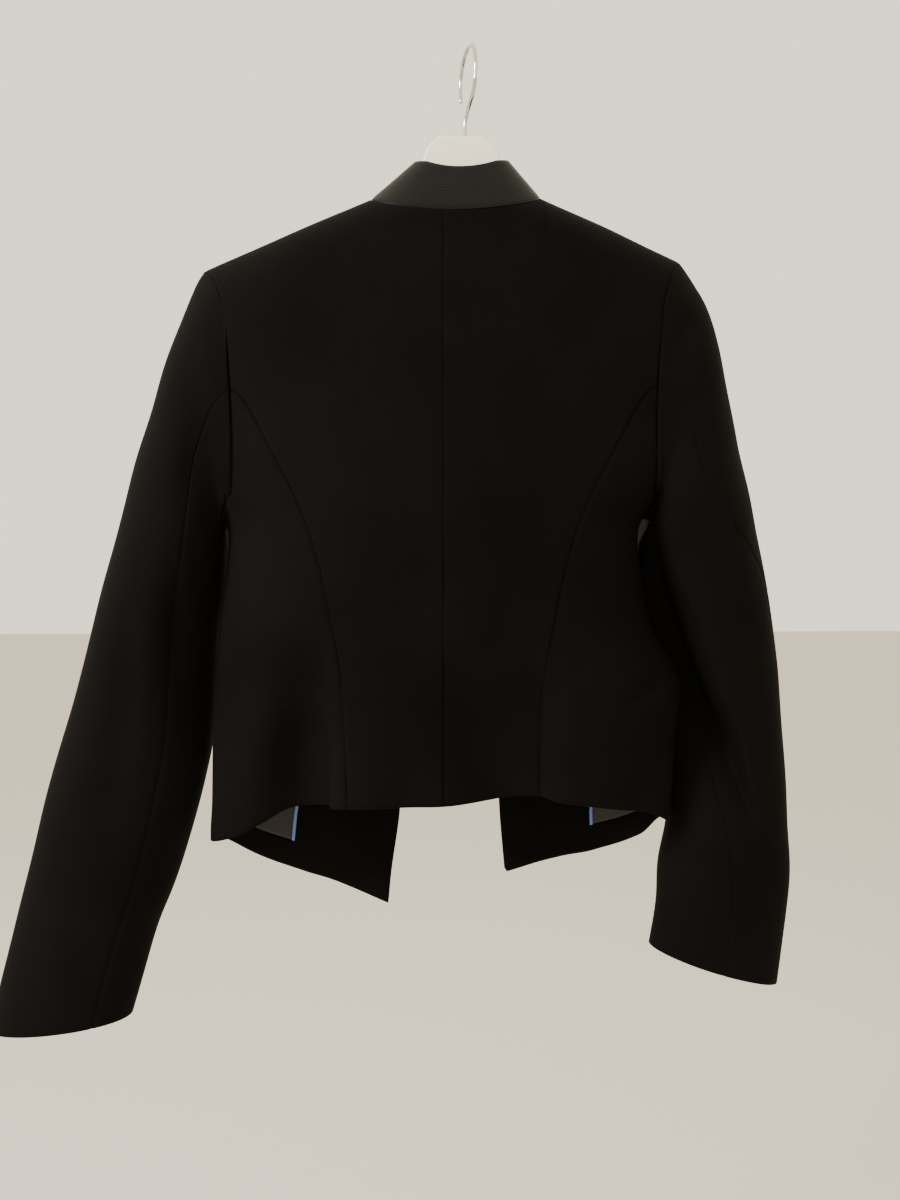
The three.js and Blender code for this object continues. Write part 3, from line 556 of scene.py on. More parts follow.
def armhole_edge(name, share):
    """The armhole from the shoulder point to the underarm, rounded into the side at its foot."""
    corner, hand = shoulders[name], hands[name]
    down = mix(corner["point_down"], corner["underarm_down"], share)
    x = body_middle + hand * read_table(armhole_line, "share", "out", share)
    places = place_at(x, np.maximum(down, shoulder_down(x) + armhole_below_shoulder))
    low_down = mix(corner["point_down"], corner["underarm_down"], underarm_share)
    low = place_at(body_middle + hand * armhole_line["out"][-1], low_down)
    left = np.clip((1 - share) / (1 - underarm_share), 0, 1) ** underarm_roundness
    rounded = at_side(name, down)
    rounded[..., 0] = mix(hand * math.pi / 2, low[0], left)
    places = np.where((share > underarm_share)[..., None], rounded, places)
    top = place_at(corner["point_x"], shoulder_down(corner["point_x"]))
    return np.where((share <= 0)[..., None], top, places)


def side_edge(name, share):
    return at_side(name, mix(shoulders[name]["underarm_down"], side_hem(name), share))


def princess_hem_x(name):
    return seam_middle + hands[name] * princess_line["out"][-1]


def princess_edge(name, share):
    """The curved back seam, from the middle of the armhole to the hem."""
    corner = shoulders[name]
    hem_down = back_hem_down(princess_hem_x(name))
    top_down = mix(corner["point_down"], corner["underarm_down"], princess_top_share)
    down = mix(top_down, hem_down, share)
    places = place_at(seam_middle + hands[name] * read_table(princess_line, "down", "out", down), down)
    places[0] = armhole_edge(name, np.array([princess_top_share]))[0]
    return places


def centre_edge(share):
    hem_down = back_hem_down(seam_middle)
    return place_at(seam_middle + 0 * share, mix(neck_back_down, hem_down, share))


def shoulder_edge(name, share):
    x = mix(shoulders[name]["neck_x"], shoulders[name]["point_x"], share)
    return place_at(x, shoulder_down(x))


def back_neck_edge(name, share):
    corner = shoulders[name]
    out = np.sin(share * neck_spread) / math.sin(neck_spread)
    bend = np.maximum(1 - out * out, 0) ** neck_roundness["back"]
    x = mix(neck_back_middle, corner["neck_x"], out)
    places = place_at(x, mix(corner["neck_down"], neck_back_down, bend))
    places[-1] = shoulder_edge(name, np.array([0.0]))[0]
    return places


def front_neck_edge(name, share):
    corner = shoulders[name]
    bend = np.sin(share * math.pi / 2) ** neck_roundness["front"]
    x = mix(corner["neck_x"], front_edge[name][0], share)
    places = place_at(x, mix(corner["neck_down"], neck_front_down, bend))
    places[0] = shoulder_edge(name, np.array([0.0]))[0]
    return places


def front_tip(name):
    at = -1 if name == "left" else 0
    return front_hem[name]["x"][at], front_hem[name]["down"][at]


def opening_edge(name, share):
    tip_x, tip_down = front_tip(name)
    down = mix(neck_front_down, tip_down, share)
    places = place_at(read_table(front_edge, "down", name, down), down)
    places[-1] = place_at(tip_x, tip_down)
    return places


def spread_evenly(places, steps):
    """The same line of places, at about even distances along the cloth."""
    sizes = np.diff(places * np.array([cloth_per_turn, 1.0]), axis=0)
    run = np.concatenate([[0], np.cumsum(np.hypot(sizes[:, 0], sizes[:, 1]))])
    even = np.linspace(0, run[-1], steps + 1)
    return np.stack([np.interp(even, run, places[:, k]) for k in (0, 1)], -1)


# How fast the bends of a panel's top and side edges fade out: powers of the share left to the other edge
top_fade = 3
side_fade = 2


def fill_panel(top, bottom, first, second):
    """A grid of places between four edges. The bends of the edges fade out across the panel."""
    u = np.linspace(0, 1, len(top))[None, :, None]
    v = np.linspace(0, 1, len(first))[:, None, None]
    top_line, bottom_line = mix(top[0], top[-1], u), mix(bottom[0], bottom[-1], u)
    first_line, second_line = mix(first[0], first[-1], v), mix(second[0], second[-1], v)
    places = mix(top_line, bottom_line, v)
    places = places + (top[None] - top_line) * (1 - v) ** top_fade + (bottom[None] - bottom_line) * v
    places = places + (first[:, None] - first_line) * (1 - u) ** side_fade
    return places + (second[:, None] - second_line) * u ** side_fade


# Divisions: steps of the CAD model's panels along each edge, times a fineness for the finer cloth here
row_fineness = 8
column_fineness = 6
armhole_steps = 12
seam_steps = 12
neck_steps = 5
shoulder_steps = 5
closer_at_top = 1.3
hole_rows = armhole_steps * row_fineness
half_hole = hole_rows // 2
seam_rows = seam_steps * row_fineness
neck_columns = neck_steps * column_fineness
shoulder_columns = shoulder_steps * column_fineness


def shares(steps):
    return np.arange(steps + 1) / steps


def armhole_shares(steps):
    """Shares of the way down the armhole, closer together at the shoulder and the underarm."""
    return (1 - np.cos(math.pi * shares(steps))) / 2


def back_places(name):
    hole = armhole_edge(name, armhole_shares(hole_rows))
    outer = np.concatenate([hole[:half_hole + 1], princess_edge(name, shares(seam_rows))[1:]])
    centre = centre_edge(shares(len(outer) - 1) ** closer_at_top)
    neck = spread_evenly(back_neck_edge(name, shares(neck_samples)), neck_columns)
    top = np.concatenate([neck, shoulder_edge(name, shares(shoulder_columns))[1:]])
    hem_x = mix(seam_middle, princess_hem_x(name), shares(len(top) - 1))
    hem = place_at(hem_x, back_hem_down(hem_x))
    return fill_panel(top, hem, centre, outer)


def side_back_places(name):
    top = armhole_edge(name, armhole_shares(hole_rows))[half_hole:]
    bend = np.sin(shares(half_hole) * math.pi / 2)
    hem_x = mix(princess_hem_x(name), side_x(name, side_hem(name)), bend)
    hem = place_at(hem_x, back_hem_down(hem_x))
    side = side_edge(name, shares(seam_rows))
    hem[-1] = side[-1]
    return fill_panel(top, hem, princess_edge(name, shares(seam_rows)), side)


def front_places(name):
    hole = armhole_edge(name, armhole_shares(hole_rows))
    outer = np.concatenate([hole, side_edge(name, shares(seam_rows))[1:]])
    opening = opening_edge(name, shares(len(outer) - 1) ** closer_at_top)
    shoulder = shoulder_edge(name, 1 - shares(shoulder_columns))
    neck = spread_evenly(front_neck_edge(name, shares(neck_samples)), neck_columns)
    top = np.concatenate([shoulder, neck[1:]])
    bend = 1 - np.cos(shares(len(top) - 1) * math.pi / 2)
    hem_x = mix(side_x(name, side_hem(name)), front_tip(name)[0], bend)
    hem = place_at(hem_x, read_table(front_hem[name], "x", "down", hem_x))
    hem[0] = outer[-1]
    return fill_panel(top, hem, outer, opening)


# Backs
# Two panels of fine black wool, joined down the middle by a plain pressed seam.
# Each is one thin wall of cloth with rounded edges, and its creases are worked into its surface.
cloth_thickness = 1.5
seam_gap = 0.3
seam_roll = {"depth": 0.55, "width": 2.6}
edge_fractions = [0.1, 0.3, 0.6]

# Creases of the back. Each is its points from end to end in x and down, how deep it goes in at each of them
# (ridges are negative), and how wide it is on its left and on its right, seen along its own way.
back_creases = [
    ([(-121, 470), (-121, 527), (-122, 575), (-123, 630)], [0, 6, 12, 14], 30, 7),
    ([(-178, 300), (-178, 345), (-176, 395), (-170, 440)], [0.5, 1.5, 1.5, 0], 12, 14),
    ([(7, 449), (46, 496), (59, 528), (55, 604), (54, 630)], [0, 5, 9, 11, 10], 42, 13),
    ([(-60, 500), (-52, 560), (-48, 630)], [0, 1.2, 2], 15, 18),
    ([(-150, 190), (-120, 235), (-80, 262)], [0, 0.9, 0], 14, 12),
    ([(120, 185), (95, 228), (60, 250)], [0, 0.8, 0], 13, 14),
    ([(128, 534), (150, 524), (168, 512)], [1, 3.5, 2], 7, 12),
    ([(150, 330), (146, 380), (138, 430)], [0, 1.6, 0], 10, 12),
    ([(-200, 455), (-188, 500), (-176, 560)], [0, 2, 0.5], 10, 14),
]


def crease_depths(grid, creases):
    """How far in each point goes, from creases that run from point to point in x and down."""
    x, down = grid[..., 0], -grid[..., 2]
    total = np.zeros_like(x)
    for line, depths, left, right in creases:
        nearest = np.full_like(x, np.inf)
        width, depth = np.ones_like(x), np.zeros_like(x)
        for i in range(len(line) - 1):
            (ax, ad), (bx, bd) = line[i], line[i + 1]
            length = math.hypot(bx - ax, bd - ad)
            along = ((x - ax) * (bx - ax) + (down - ad) * (bd - ad)) / length ** 2
            share = np.clip(along, 0, 1)
            right_hand = (x - ax) * (bd - ad) - (down - ad) * (bx - ax) > 0
            distance = np.hypot(x - mix(ax, bx, share), down - mix(ad, bd, share))
            closer = distance < nearest
            nearest = np.where(closer, distance, nearest)
            width = np.where(closer, np.where(right_hand, right, left), width)
            depth = np.where(closer, mix(depths[i], depths[i + 1], ease(share)), depth)
        total += depth * np.exp(-(nearest / width) ** 2)
    return total


def closer_at_edges(grid, edges):
    """Adds lines of points beside the sewn edges, so that the cloth can roll into the seam."""
    for edge, axis, at_start in (("top", 0, True), ("first", 1, True), ("second", 1, False)):
        if edge not in edges:
            continue
        grid = np.moveaxis(grid, axis, 0)
        one, two = (grid[0], grid[1]) if at_start else (grid[-1], grid[-2])
        added = np.array([mix(one, two, f) for f in edge_fractions])
        if at_start:
            grid = np.concatenate([grid[:1], added, grid[1:]])
        else:
            grid = np.concatenate([grid[:-1], added[::-1], grid[-1:]])
        grid = np.moveaxis(grid, 0, axis)
    return grid


def lengths(grid, axis):
    """Distance along the cloth from the first row or column to each point."""
    steps = np.linalg.norm(np.diff(grid, axis=axis), axis=-1)
    pad = [(1, 0), (0, 0)] if axis == 0 else [(0, 0), (1, 0)]
    return np.pad(np.cumsum(steps, axis=axis), pad)


def grid_normals(grid, outward):
    """Directions out of the cloth. outward is any rough direction on the outer side."""
    normal = unit(np.cross(np.gradient(grid, axis=1), np.gradient(grid, axis=0)))
    return normal if (normal * outward).sum() > 0 else -normal


def seam_dips(grid, edges):
    """How far the cloth rolls in beside its sewn edges."""
    down, across = lengths(grid, 0), lengths(grid, 1)
    distances = {"top": down, "first": across, "second": across[:, -1:] - across}
    nearest = np.min([distances[edge] for edge in edges], axis=0)
    return seam_roll["depth"] * (1 - ease(nearest / seam_roll["width"]))


def hang_unevenly(grid):
    """The slight unevenness of worn cloth, from a few long soft waves."""
    x, y, down = grid[..., 0], grid[..., 1], -grid[..., 2]
    wave = 0.35 * np.sin(x / 19 + down / 47 + 0.4) * np.sin(down / 31 - x / 83)
    return wave + 0.25 * np.sin(down / 13.7 + x / 29 + y / 11 + 1.1) * np.sin(x / 41 + 2.0)


def wall_piece(name, outer, inner, material, used=None, bulge=0.45):
    """A closed wall of cloth between two grids, with a rounded rim, as a new object."""
    rows, columns = outer.shape[0] - 1, outer.shape[1] - 1
    used = np.ones((rows, columns), bool) if used is None else used
    count = (rows + 1) * (columns + 1)
    index = np.arange(count).reshape(rows + 1, columns + 1)
    p, q, s, t = index[:-1, :-1], index[:-1, 1:], index[1:, 1:], index[1:, :-1]
    around = np.pad(used, 1)
    rims = []
    for a, b, beyond in (
        (p, q, around[:-2, 1:-1]), (q, s, around[1:-1, 2:]),
        (s, t, around[2:, 1:-1]), (t, p, around[1:-1, :-2]),
    ):
        rims.append(np.stack([a, b], -1)[used & ~beyond])
    rims = np.concatenate(rims)
    flat_outer, flat_inner = outer.reshape(-1, 3), inner.reshape(-1, 3)
    middle = np.zeros((count, 3))
    weight = np.zeros(count)
    centres = (outer[:-1, :-1] + outer[:-1, 1:] + outer[1:, 1:] + outer[1:, :-1]) / 4
    for corner in (p, q, s, t):
        np.add.at(middle, corner[used], centres[used])
        np.add.at(weight, corner[used], 1)
    middle /= np.maximum(weight, 1)[:, None]
    through = unit(flat_outer - flat_inner)
    away = flat_outer - middle
    away = unit(away - through * (away * through).sum(-1, keepdims=True))
    rounded = (flat_outer + flat_inner) / 2 + away * bulge
    points = np.concatenate([flat_outer, flat_inner, rounded])
    a, b = rims[:, 0], rims[:, 1]
    faces = np.concatenate([
        np.stack([p, q, s, t], -1)[used],
        np.stack([p, t, s, q], -1)[used] + count,
        np.stack([b, a, a + 2 * count, b + 2 * count], -1),
        np.stack([b + 2 * count, a + 2 * count, a + count, b + count], -1),
    ])
    one, two, three, four = (points[faces[:, k]] for k in range(4))
    volume = (one * np.cross(two, three)).sum() + (one * np.cross(three, four)).sum()
    if volume < 0:
        faces = faces[:, ::-1]
    kept, renamed = np.unique(faces, return_inverse=True)
    faces = renamed.reshape(faces.shape)
    mesh = bpy.data.meshes.new(name)
    mesh.from_pydata((points[kept] * millimetre).tolist(), [], faces.tolist())
    grain = np.stack([lengths(outer, 1), lengths(outer, 0)], -1).reshape(-1, 2) * millimetre
    grain = np.concatenate([grain, grain, grain])[kept]
    corners = np.zeros(len(mesh.loops), dtype=np.int32)
    mesh.loops.foreach_get("vertex_index", corners)
    layer = mesh.uv_layers.new(name="grain")
    layer.data.foreach_set("uv", grain[corners].ravel())
    mesh.shade_smooth()
    mesh.materials.append(material)
    return put_in_scene(name, mesh)


def cut_cloth(name, outer, normal, material, node):
    """One piece of cloth behind its outer face, with the part that it replaces hidden."""
    inner = outer - normal * cloth_thickness
    piece = wall_piece(name, outer, inner, material)
    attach(piece, "root")
    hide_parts(node)


def worked_face(grid, normal, edges, creases):
    """The outer face of a piece of cloth: its grid with the seams rolled in and the creases worked in."""
    depth = seam_dips(grid, edges) + crease_depths(grid, creases) + hang_unevenly(grid)
    return grid - normal * depth[..., None]


# Worsted wool suiting: near black and matt, a fine twill with a soft nap that catches a little light at the
# edges of folds. The twill is drawn at 1.4 mm, about twice the real spacing, so that it shows at all.
twill_spacing = 0.0014
nap_grain = 0.0008
# The wave texture draws bands a metre wide at these scales, straight and diagonal
straight_band = 2 * math.pi / 20
diagonal_band = 2 * math.pi / 10


def grain_of(material):
    """A point's place in the flat cloth, in metres across and along it."""
    return add_node(material, "ShaderNodeUVMap", uv_map="grain").outputs["UV"]


def add_ribs(material, direction, scale, distortion, detail=2.0):
    """The ribs of a weave, from 0 to 1."""
    inputs = {"Vector": grain_of(material), "Scale": scale, "Distortion": distortion, "Detail": detail}
    return add_node(material, "ShaderNodeTexWave", inputs, bands_direction=direction).outputs["Fac"]


def add_relief(material, softness, weight, ribs, strength, distance):
    """The bump of a cloth: its ribs, on a soft unevenness with a weight."""
    inputs = {0: softness, 1: weight, 2: ribs}
    height = add_node(material, "ShaderNodeMath", inputs, operation="MULTIPLY_ADD").outputs["Value"]
    return add_bump(material, height, strength, distance)


suiting = new_material("worsted_wool_suiting")
suiting_twill = add_ribs(suiting, "DIAGONAL", diagonal_band / (twill_spacing * math.sqrt(2)), 1.5, 1.0)
suiting_nap = add_noise(suiting, grain_of(suiting), 1 / nap_grain, 3, 0.6)
suiting_wear = add_noise(suiting, place_in(suiting), 9, 3, 0.55)
suiting_tone = add_range(suiting, suiting_wear, low=0.3, high=0.7)
finish_material(suiting, {
    "Base Color": tint_between(suiting, suiting_tone, 0x060505, 0x0A0807),
    "Roughness": add_range(suiting, suiting_nap, least=0.72, most=0.95), "Specular IOR Level": 0.05,
    "Sheen Weight": 0.004, "Sheen Roughness": 0.45, "Sheen Tint": linear(0xB9B2A8),
    "Normal": add_relief(suiting, suiting_nap, 1.0, suiting_twill, 0.35, 0.00025),
})


def hang_panel(part, name, places, side, edges, creases):
    """Hangs one panel of the body in wool, from the places that it covers, and notes its plain grid."""
    body_grids[name][part] = body_point(places, side)
    places = closer_at_edges(places, edges)
    normal = body_normals(places, side)
    outer = worked_face(body_point(places, side), normal, edges, creases)
    cut_cloth(f"{part}_panel_{name}", outer, normal, suiting, f"{part}_{name}")


sewn_all_round = ("top", "first", "second")
body_grids = {name: {} for name in hands}
for name in hands:
    hang_panel("back", name, back_places(name), -1, sewn_all_round, back_creases)


# Side backs
# Narrow panels of the same wool between the curved back seam and the side seam.
# They carry the lower half of the armhole, and the seam allowances inside pull them in a little.
for name in hands:
    places = side_back_places(name)
    hang_panel("side_back", name, places, -1, sewn_all_round, back_creases)


# Fronts
# Two panels that wrap round from the side seams to the open front edges, longer than the back and pointed.
# The edges hang free, so they have a rounded edge instead of a seam.
front_creases = [
    ([(-150, 200), (-118, 262), (-70, 300)], [0, 1.4, 0], 14, 16),
    ([(-182, 330), (-158, 400), (-120, 450)], [0.5, 2.4, 0], 13, 16),
    ([(-188, 470), (-160, 545), (-148, 640)], [0, 2.2, 1.4], 16, 14),
    ([(-96, 520), (-88, 600), (-84, 690)], [0, -1.8, -2.6], 18, 16),
    ([(120, 195), (92, 250), (52, 288)], [0, 1.3, 0], 15, 13),
    ([(146, 320), (128, 395), (94, 440)], [0.5, 2.2, 0], 15, 13),
    ([(140, 480), (122, 560), (112, 650)], [0, 2.4, 1.6], 14, 17),
    ([(66, 540), (64, 610), (62, 680)], [0, -1.6, -2.2], 15, 17),
]
for name in hands:
    hang_panel("front", name, front_places(name), 1, ("top", "first"), front_creases)


# Facings, linings and pipings
# Inside each front, a facing of the wool follows the front edge and the hem, and satin covers the rest.
# A narrow piping of blue satin is sewn in between them.
lining_thickness = 1.0
skin_gap = 0.3
free_inset = 2.5
edge_inset = 1
facing_column = 6 * column_fineness
skin_top_row = 5 * row_fineness
hem_rows = 1 * row_fineness
facing_bulge = 0.3
piping_width = 2.8
piping_height = 1.1
piping_bulge = 0.1
piping_foot = 0.15
piping_steps = 6
lining_rib_spacing = 0.0012

# Lining satin: smooth dark twill with a soft shine that follows its fine warp ribs, drawn at 1.2 mm
lining_satin = new_material("viscose_lining_satin")
lining_ribs = add_ribs(lining_satin, "X", straight_band / lining_rib_spacing, 0.8)
lining_rumple = add_noise(lining_satin, grain_of(lining_satin), 35, 2)
finish_material(lining_satin, {
    "Base Color": tint_between(lining_satin, lining_rumple, 0x171716, 0x242422), "Roughness": 0.4,
    "Specular IOR Level": 0.2, "Sheen Weight": 0.02,
    "Normal": add_relief(lining_satin, lining_rumple, 12.0, lining_ribs, 0.3, 0.00015),
})

# Piping satin: mid blue with the sheen of a bias strip folded over a cord
piping_satin = new_material("bias_cut_piping_satin")
piping_threads = add_noise(piping_satin, place_in(piping_satin), 900, 2)
finish_material(piping_satin, {
    "Base Color": tint_between(piping_satin, piping_threads, 0x3F5690, 0x5A74B0), "Roughness": 0.4,
    "Sheen Weight": 0.2,
})


def inset_edge(grid, edge, distance):
    """Moves one edge of a grid in by a distance, along the rows or columns."""
    grid = grid.copy()
    views = {
        "first": (grid[:, 0], grid[:, 1]),
        "second": (grid[:, -1], grid[:, -2]),
        "bottom": (grid[-1], grid[-2]),
    }
    rim, within = views[edge]
    rim += unit(within - rim) * distance
    return grid


for name in hands:
    front, normal = body_grids[name]["front"], body_normals(front_places(name), 1)
    depth = crease_depths(front, front_creases) + hang_unevenly(front) + cloth_thickness + skin_gap
    skin = front - normal * depth[..., None]
    rows, columns = front.shape[0] - 1, front.shape[1] - 1
    row_at, column_at = np.indices((rows, columns))
    shows = (row_at >= rows - hem_rows) | ((column_at >= facing_column) & (row_at >= skin_top_row))
    facing_face = inset_edge(inset_edge(skin, "first", free_inset), "second", edge_inset)
    facing_face = inset_edge(facing_face, "bottom", edge_inset)
    facing_back = facing_face - normal * lining_thickness
    facing = wall_piece(f"front_facing_{name}", facing_face, facing_back, suiting, shows, facing_bulge)
    lined_rows = slice(skin_top_row, rows - hem_rows + 1)
    lined = (lined_rows, slice(0, facing_column + 1))
    lining_face = inset_edge(inset_edge(skin[lined], "first", free_inset), "second", seam_gap)
    lining_face = inset_edge(lining_face, "bottom", seam_gap)
    lining_back = lining_face - normal[lined] * lining_thickness
    lining = wall_piece(f"front_lining_{name}", lining_face, lining_back, lining_satin, None, facing_bulge)
    line, line_normal = skin[lined_rows, facing_column], normal[lined_rows, facing_column]
    across = unit(skin[lined_rows, facing_column + 1] - line)
    on_skin = lining_thickness + skin_gap
    turns = np.linspace(0, math.pi, piping_steps + 1)
    shape = [(-math.cos(a) * piping_width / 2, math.sin(a) * piping_height) for a in turns]
    piping_inner = np.stack([line + across * out - line_normal * (on_skin + rise) for out, rise in shape], 1)
    piping_outer = np.stack([line + across * out - line_normal * on_skin for out, _ in shape], 1)
    piping_inner[:, [0, -1]] -= line_normal[:, None] * piping_foot
    piping = wall_piece(f"front_piping_{name}", piping_outer, piping_inner, piping_satin, None, piping_bulge)
    for piece, node, slot_name in (
        (facing, "facing", "suiting"), (lining, "lining", "lining"), (piping, "piping", "piping"),
    ):
        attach(piece, "root")
        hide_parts(f"{node}_{name}")


# Sleeves
# Two-piece sleeves: a top sleeve over the outside and an under sleeve inside, with a back and a front seam.
# The right one is folded over itself below the armhole, and its seams are twisted round by the fold.
# Each section from the armhole to the cuff has its outer and inner side, half its thickness, how far forward
# it hangs, and the twist of its seams in degrees.
sleeve_sections = {
    "left": {
        "out_x": [-214, -222, -235, -249, -261, -274, -285, -296, -306, -319, -332, -345, -357, -368, -380,
                  -392, -404],
        "out_down": [182, 193, 219, 252, 290, 328, 367, 405, 440, 487, 535, 580, 625, 670, 717, 765, 814],
        "in_x": [-195, -200.5, -201, -201, -201.5, -202, -203.5, -206, -209.5, -212.5, -216.5, -224.5, -236,
                 -249, -263, -275, -286],
        "in_down": [385, 392, 399, 407, 417, 429, 443, 459, 479, 520, 568, 608, 650, 692, 728, 766, 803],
        "half": [40, 43, 47, 51, 54, 55, 55, 54, 52, 48, 44, 40, 37, 34, 31, 29, 27],
        "forward": [0, 3, 8, 12, 15, 17, 18, 18, 18, 18, 17, 14, 11, 9, 8, 7, 8],
        "twist": [0, -2, -4, -6, -8, -10, -12, -14, -16, -18, -20, -22, -24, -25, -25, -25, -25],
    },
    "right": {
        "out_x": [179, 189, 203, 214, 222, 231, 241, 249, 257, 265, 271, 275, 278, 281, 283, 280, 273],
        "out_down": [171, 184, 205, 237, 277, 314, 350, 385, 420, 463, 508, 552, 600, 645, 685, 725, 787],
        "in_x": [153, 151, 148.5, 147, 146.5, 146, 145.5, 146, 150, 163.5, 180, 181, 178,
                 175, 168, 166, 160],
        "in_down": [383, 391, 398, 406, 415, 425, 437, 451, 469, 493, 525, 562, 604, 645, 680, 715, 752],
        "half": [40, 43, 47, 51, 54, 55, 55, 54, 52, 50, 47, 43, 40, 36, 33, 30, 28],
        "forward": [0, 3, 8, 12, 15, 17, 19, 20, 20, 20, 19, 17, 14, 12, 10, 9, 9],
        "twist": [0, 2, 4, 8, 12, 18, 28, 42, 62, 90, 112, 130, 144, 154, 162, 165, 165],
    },
}
back_sleeve_seam = 82
front_sleeve_seam = 285
blend_sections = 4
sleeve_fold = {
    "down": [360, 384, 401, 419, 467, 485, 529, 567, 591, 650],
    "x": [150, 157, 163, 168, 187, 193, 210, 228, 233, 250],
    "depth": [0, 14, 26, 34, 42, 42, 40, 34, 24, 0],
}
fold_softness = 7
sleeve_seam_gap = 0.5
sleeve_rings = 176
ring_steps = 144
even_rings = 12
crease_change = 1.5

sleeve_back_creases = {
    "left": [
        ([(-264, 430), (-280, 546), (-289, 601), (-306, 680)], [0, 4, 3, 0], 17, 15),
        ([(-232, 400), (-235, 470), (-240, 540)], [0, 2.5, 0], 7, 9),
        ([(-250, 400), (-256, 470), (-264, 560)], [0, -2, 0], 12, 10),
        ([(-212, 300), (-222, 350), (-226, 395)], [0, 2, 0], 8, 8),
        ([(-330, 690), (-316, 745), (-312, 790)], [0, 1.8, 0.6], 14, 16),
    ],
    "right": [
        ([(188, 195), (172, 234), (160, 266)], [0, 2.6, 0], 8, 12),
        ([(192, 205), (188, 250), (178, 300)], [0, -1.2, 0], 10, 14),
        ([(212, 388), (218, 396), (226, 400)], [0, 2.2, 0], 6, 7),
        ([(246, 470), (252, 530), (246, 600)], [0, 1.8, 0], 16, 15),
        ([(216, 640), (219, 690), (221, 745)], [0, 1.4, 0.8], 12, 14),
    ],
}
sleeve_front_creases = {
    "left": [
        ([(-258, 420), (-272, 520), (-290, 620)], [0, 3.2, 0], 15, 17),
        ([(-222, 250), (-232, 320), (-226, 380)], [0, 2.6, 0], 12, 10),
        ([(-300, 560), (-326, 640), (-334, 720)], [0, 2, 0], 14, 13),
    ],
    "right": [
        ([(172, 240), (184, 310), (176, 376)], [0, 2.6, 0], 10, 12),
        ([(206, 420), (224, 510), (228, 590)], [0, 3, 0], 15, 14),
        ([(238, 600), (226, 680), (214, 740)], [0, 2.1, 0], 13, 15),
    ],
}


def sleeve_ring_points(name):
    """The sleeve as rings of points: column 0 is the underarm, and the shoulder point is halfway round."""
    hand = hands[name]
    table = dict(sleeve_sections[name])
    table["place"] = list(range(len(table["out_x"])))
    half_steps = ring_steps // 2
    steps = np.arange(ring_steps + 1)
    even = steps / ring_steps * 360
    behind_steps = armhole_shares(half_steps)
    hole_back = body_point(armhole_edge(name, behind_steps), -1)
    hole_front = body_point(armhole_edge(name, behind_steps), 1)
    hole = np.concatenate([hole_back[::-1], hole_front[1:]])
    underarm, top = hole[0], hole[half_steps]
    hole_share = ((1 - np.cos(np.radians(even))) / 2)[:, None]
    aside = hole - mix(underarm, top, hole_share)
    rings = []
    for place in np.linspace(0, len(table["out_x"]) - 1, sleeve_rings + 1):
        out_x, out_down, in_x, in_down, half, forward, twist = (
            float(read_table(table, "place", column, place))
            for column in ("out_x", "out_down", "in_x", "in_down", "half", "forward", "twist")
        )
        inner, outer = np.array([in_x, forward, -in_down]), np.array([out_x, forward, -out_down])
        blend = min(place / blend_sections, 1)
        back_seam, front_seam = mix(90, back_sleeve_seam, blend), mix(270, front_sleeve_seam, blend)
        angle = np.interp(even, [0, 90, 270, 360], [0, back_seam, front_seam, 360])
        turn = np.radians(angle + twist)
        points = mix(inner, outer, ((1 - np.cos(turn)) / 2)[:, None])
        points[:, 1] -= half * np.sin(turn)
        held = mix(inner, outer, hole_share) + aside
        points = mix(points, held, (1 - blend) ** 2)
        if place == 0:
            points = hole + np.array([hand * sleeve_seam_gap, 0, 0])
        if name == "right":
            line = read_table(sleeve_fold, "down", "x", -points[:, 2])
            fold_depth = read_table(sleeve_fold, "down", "depth", -points[:, 2])
            pushed = fold_depth * ease((line - points[:, 0]) / fold_softness)
            points[:, 1] += pushed * np.maximum(np.sin(turn), 0)
        points[-1] = points[0]
        rings.append(points)
    return np.array(rings)


for name in hands:
    rings = sleeve_ring_points(name)
    middle = rings[:, :-1].mean(axis=1, keepdims=True)
    wrapped = np.concatenate([rings[:, -2:-1], rings, rings[:, 1:2]], axis=1)
    normal = grid_normals(wrapped, wrapped - middle)[:, 1:-1]
    # The creases of the back and of the front give way to each other round the sleeve's edges
    seen = ease(0.5 - normal[..., 1] * crease_change)
    depth = crease_depths(rings, sleeve_back_creases[name]) * seen
    depth += crease_depths(rings, sleeve_front_creases[name]) * (1 - seen)
    depth += hang_unevenly(rings) * ease(np.arange(len(rings)) / even_rings)[:, None]
    rings = rings - normal * depth[..., None]
    quarter = ring_steps // 4
    parts = {
        "top_sleeve": np.arange(quarter, 3 * quarter + 1),
        "under_sleeve": np.concatenate([np.arange(3 * quarter, 4 * quarter), np.arange(0, quarter + 1)]),
    }
    for part, steps in parts.items():
        grid = closer_at_edges(rings[:, steps], sewn_all_round)
        part_middle = closer_at_edges(np.repeat(middle, len(steps), axis=1), sewn_all_round)
        part_normal = grid_normals(grid, grid - part_middle)
        outer = grid - part_normal * seam_dips(grid, sewn_all_round)[..., None]
        cut_cloth(
            f"{part}_{name}_cloth", outer, part_normal, suiting, f"{part}_{name}",
        )


# Collar
# A low stand collar in one piece round the neck, of a heavier satin that catches more light than the wool.
# It leans in from the neck seam, and its top edge is turned over to the inside, so it is round there.
collar_top = {"middle": -6, "width": 0.57, "depth": 0.65, "rise_back": 40, "rise_side": 28}
collar_rise_power = 1.5
collar_rows = 16
collar_lift = 0.4
collar_rib_spacing = 0.0016

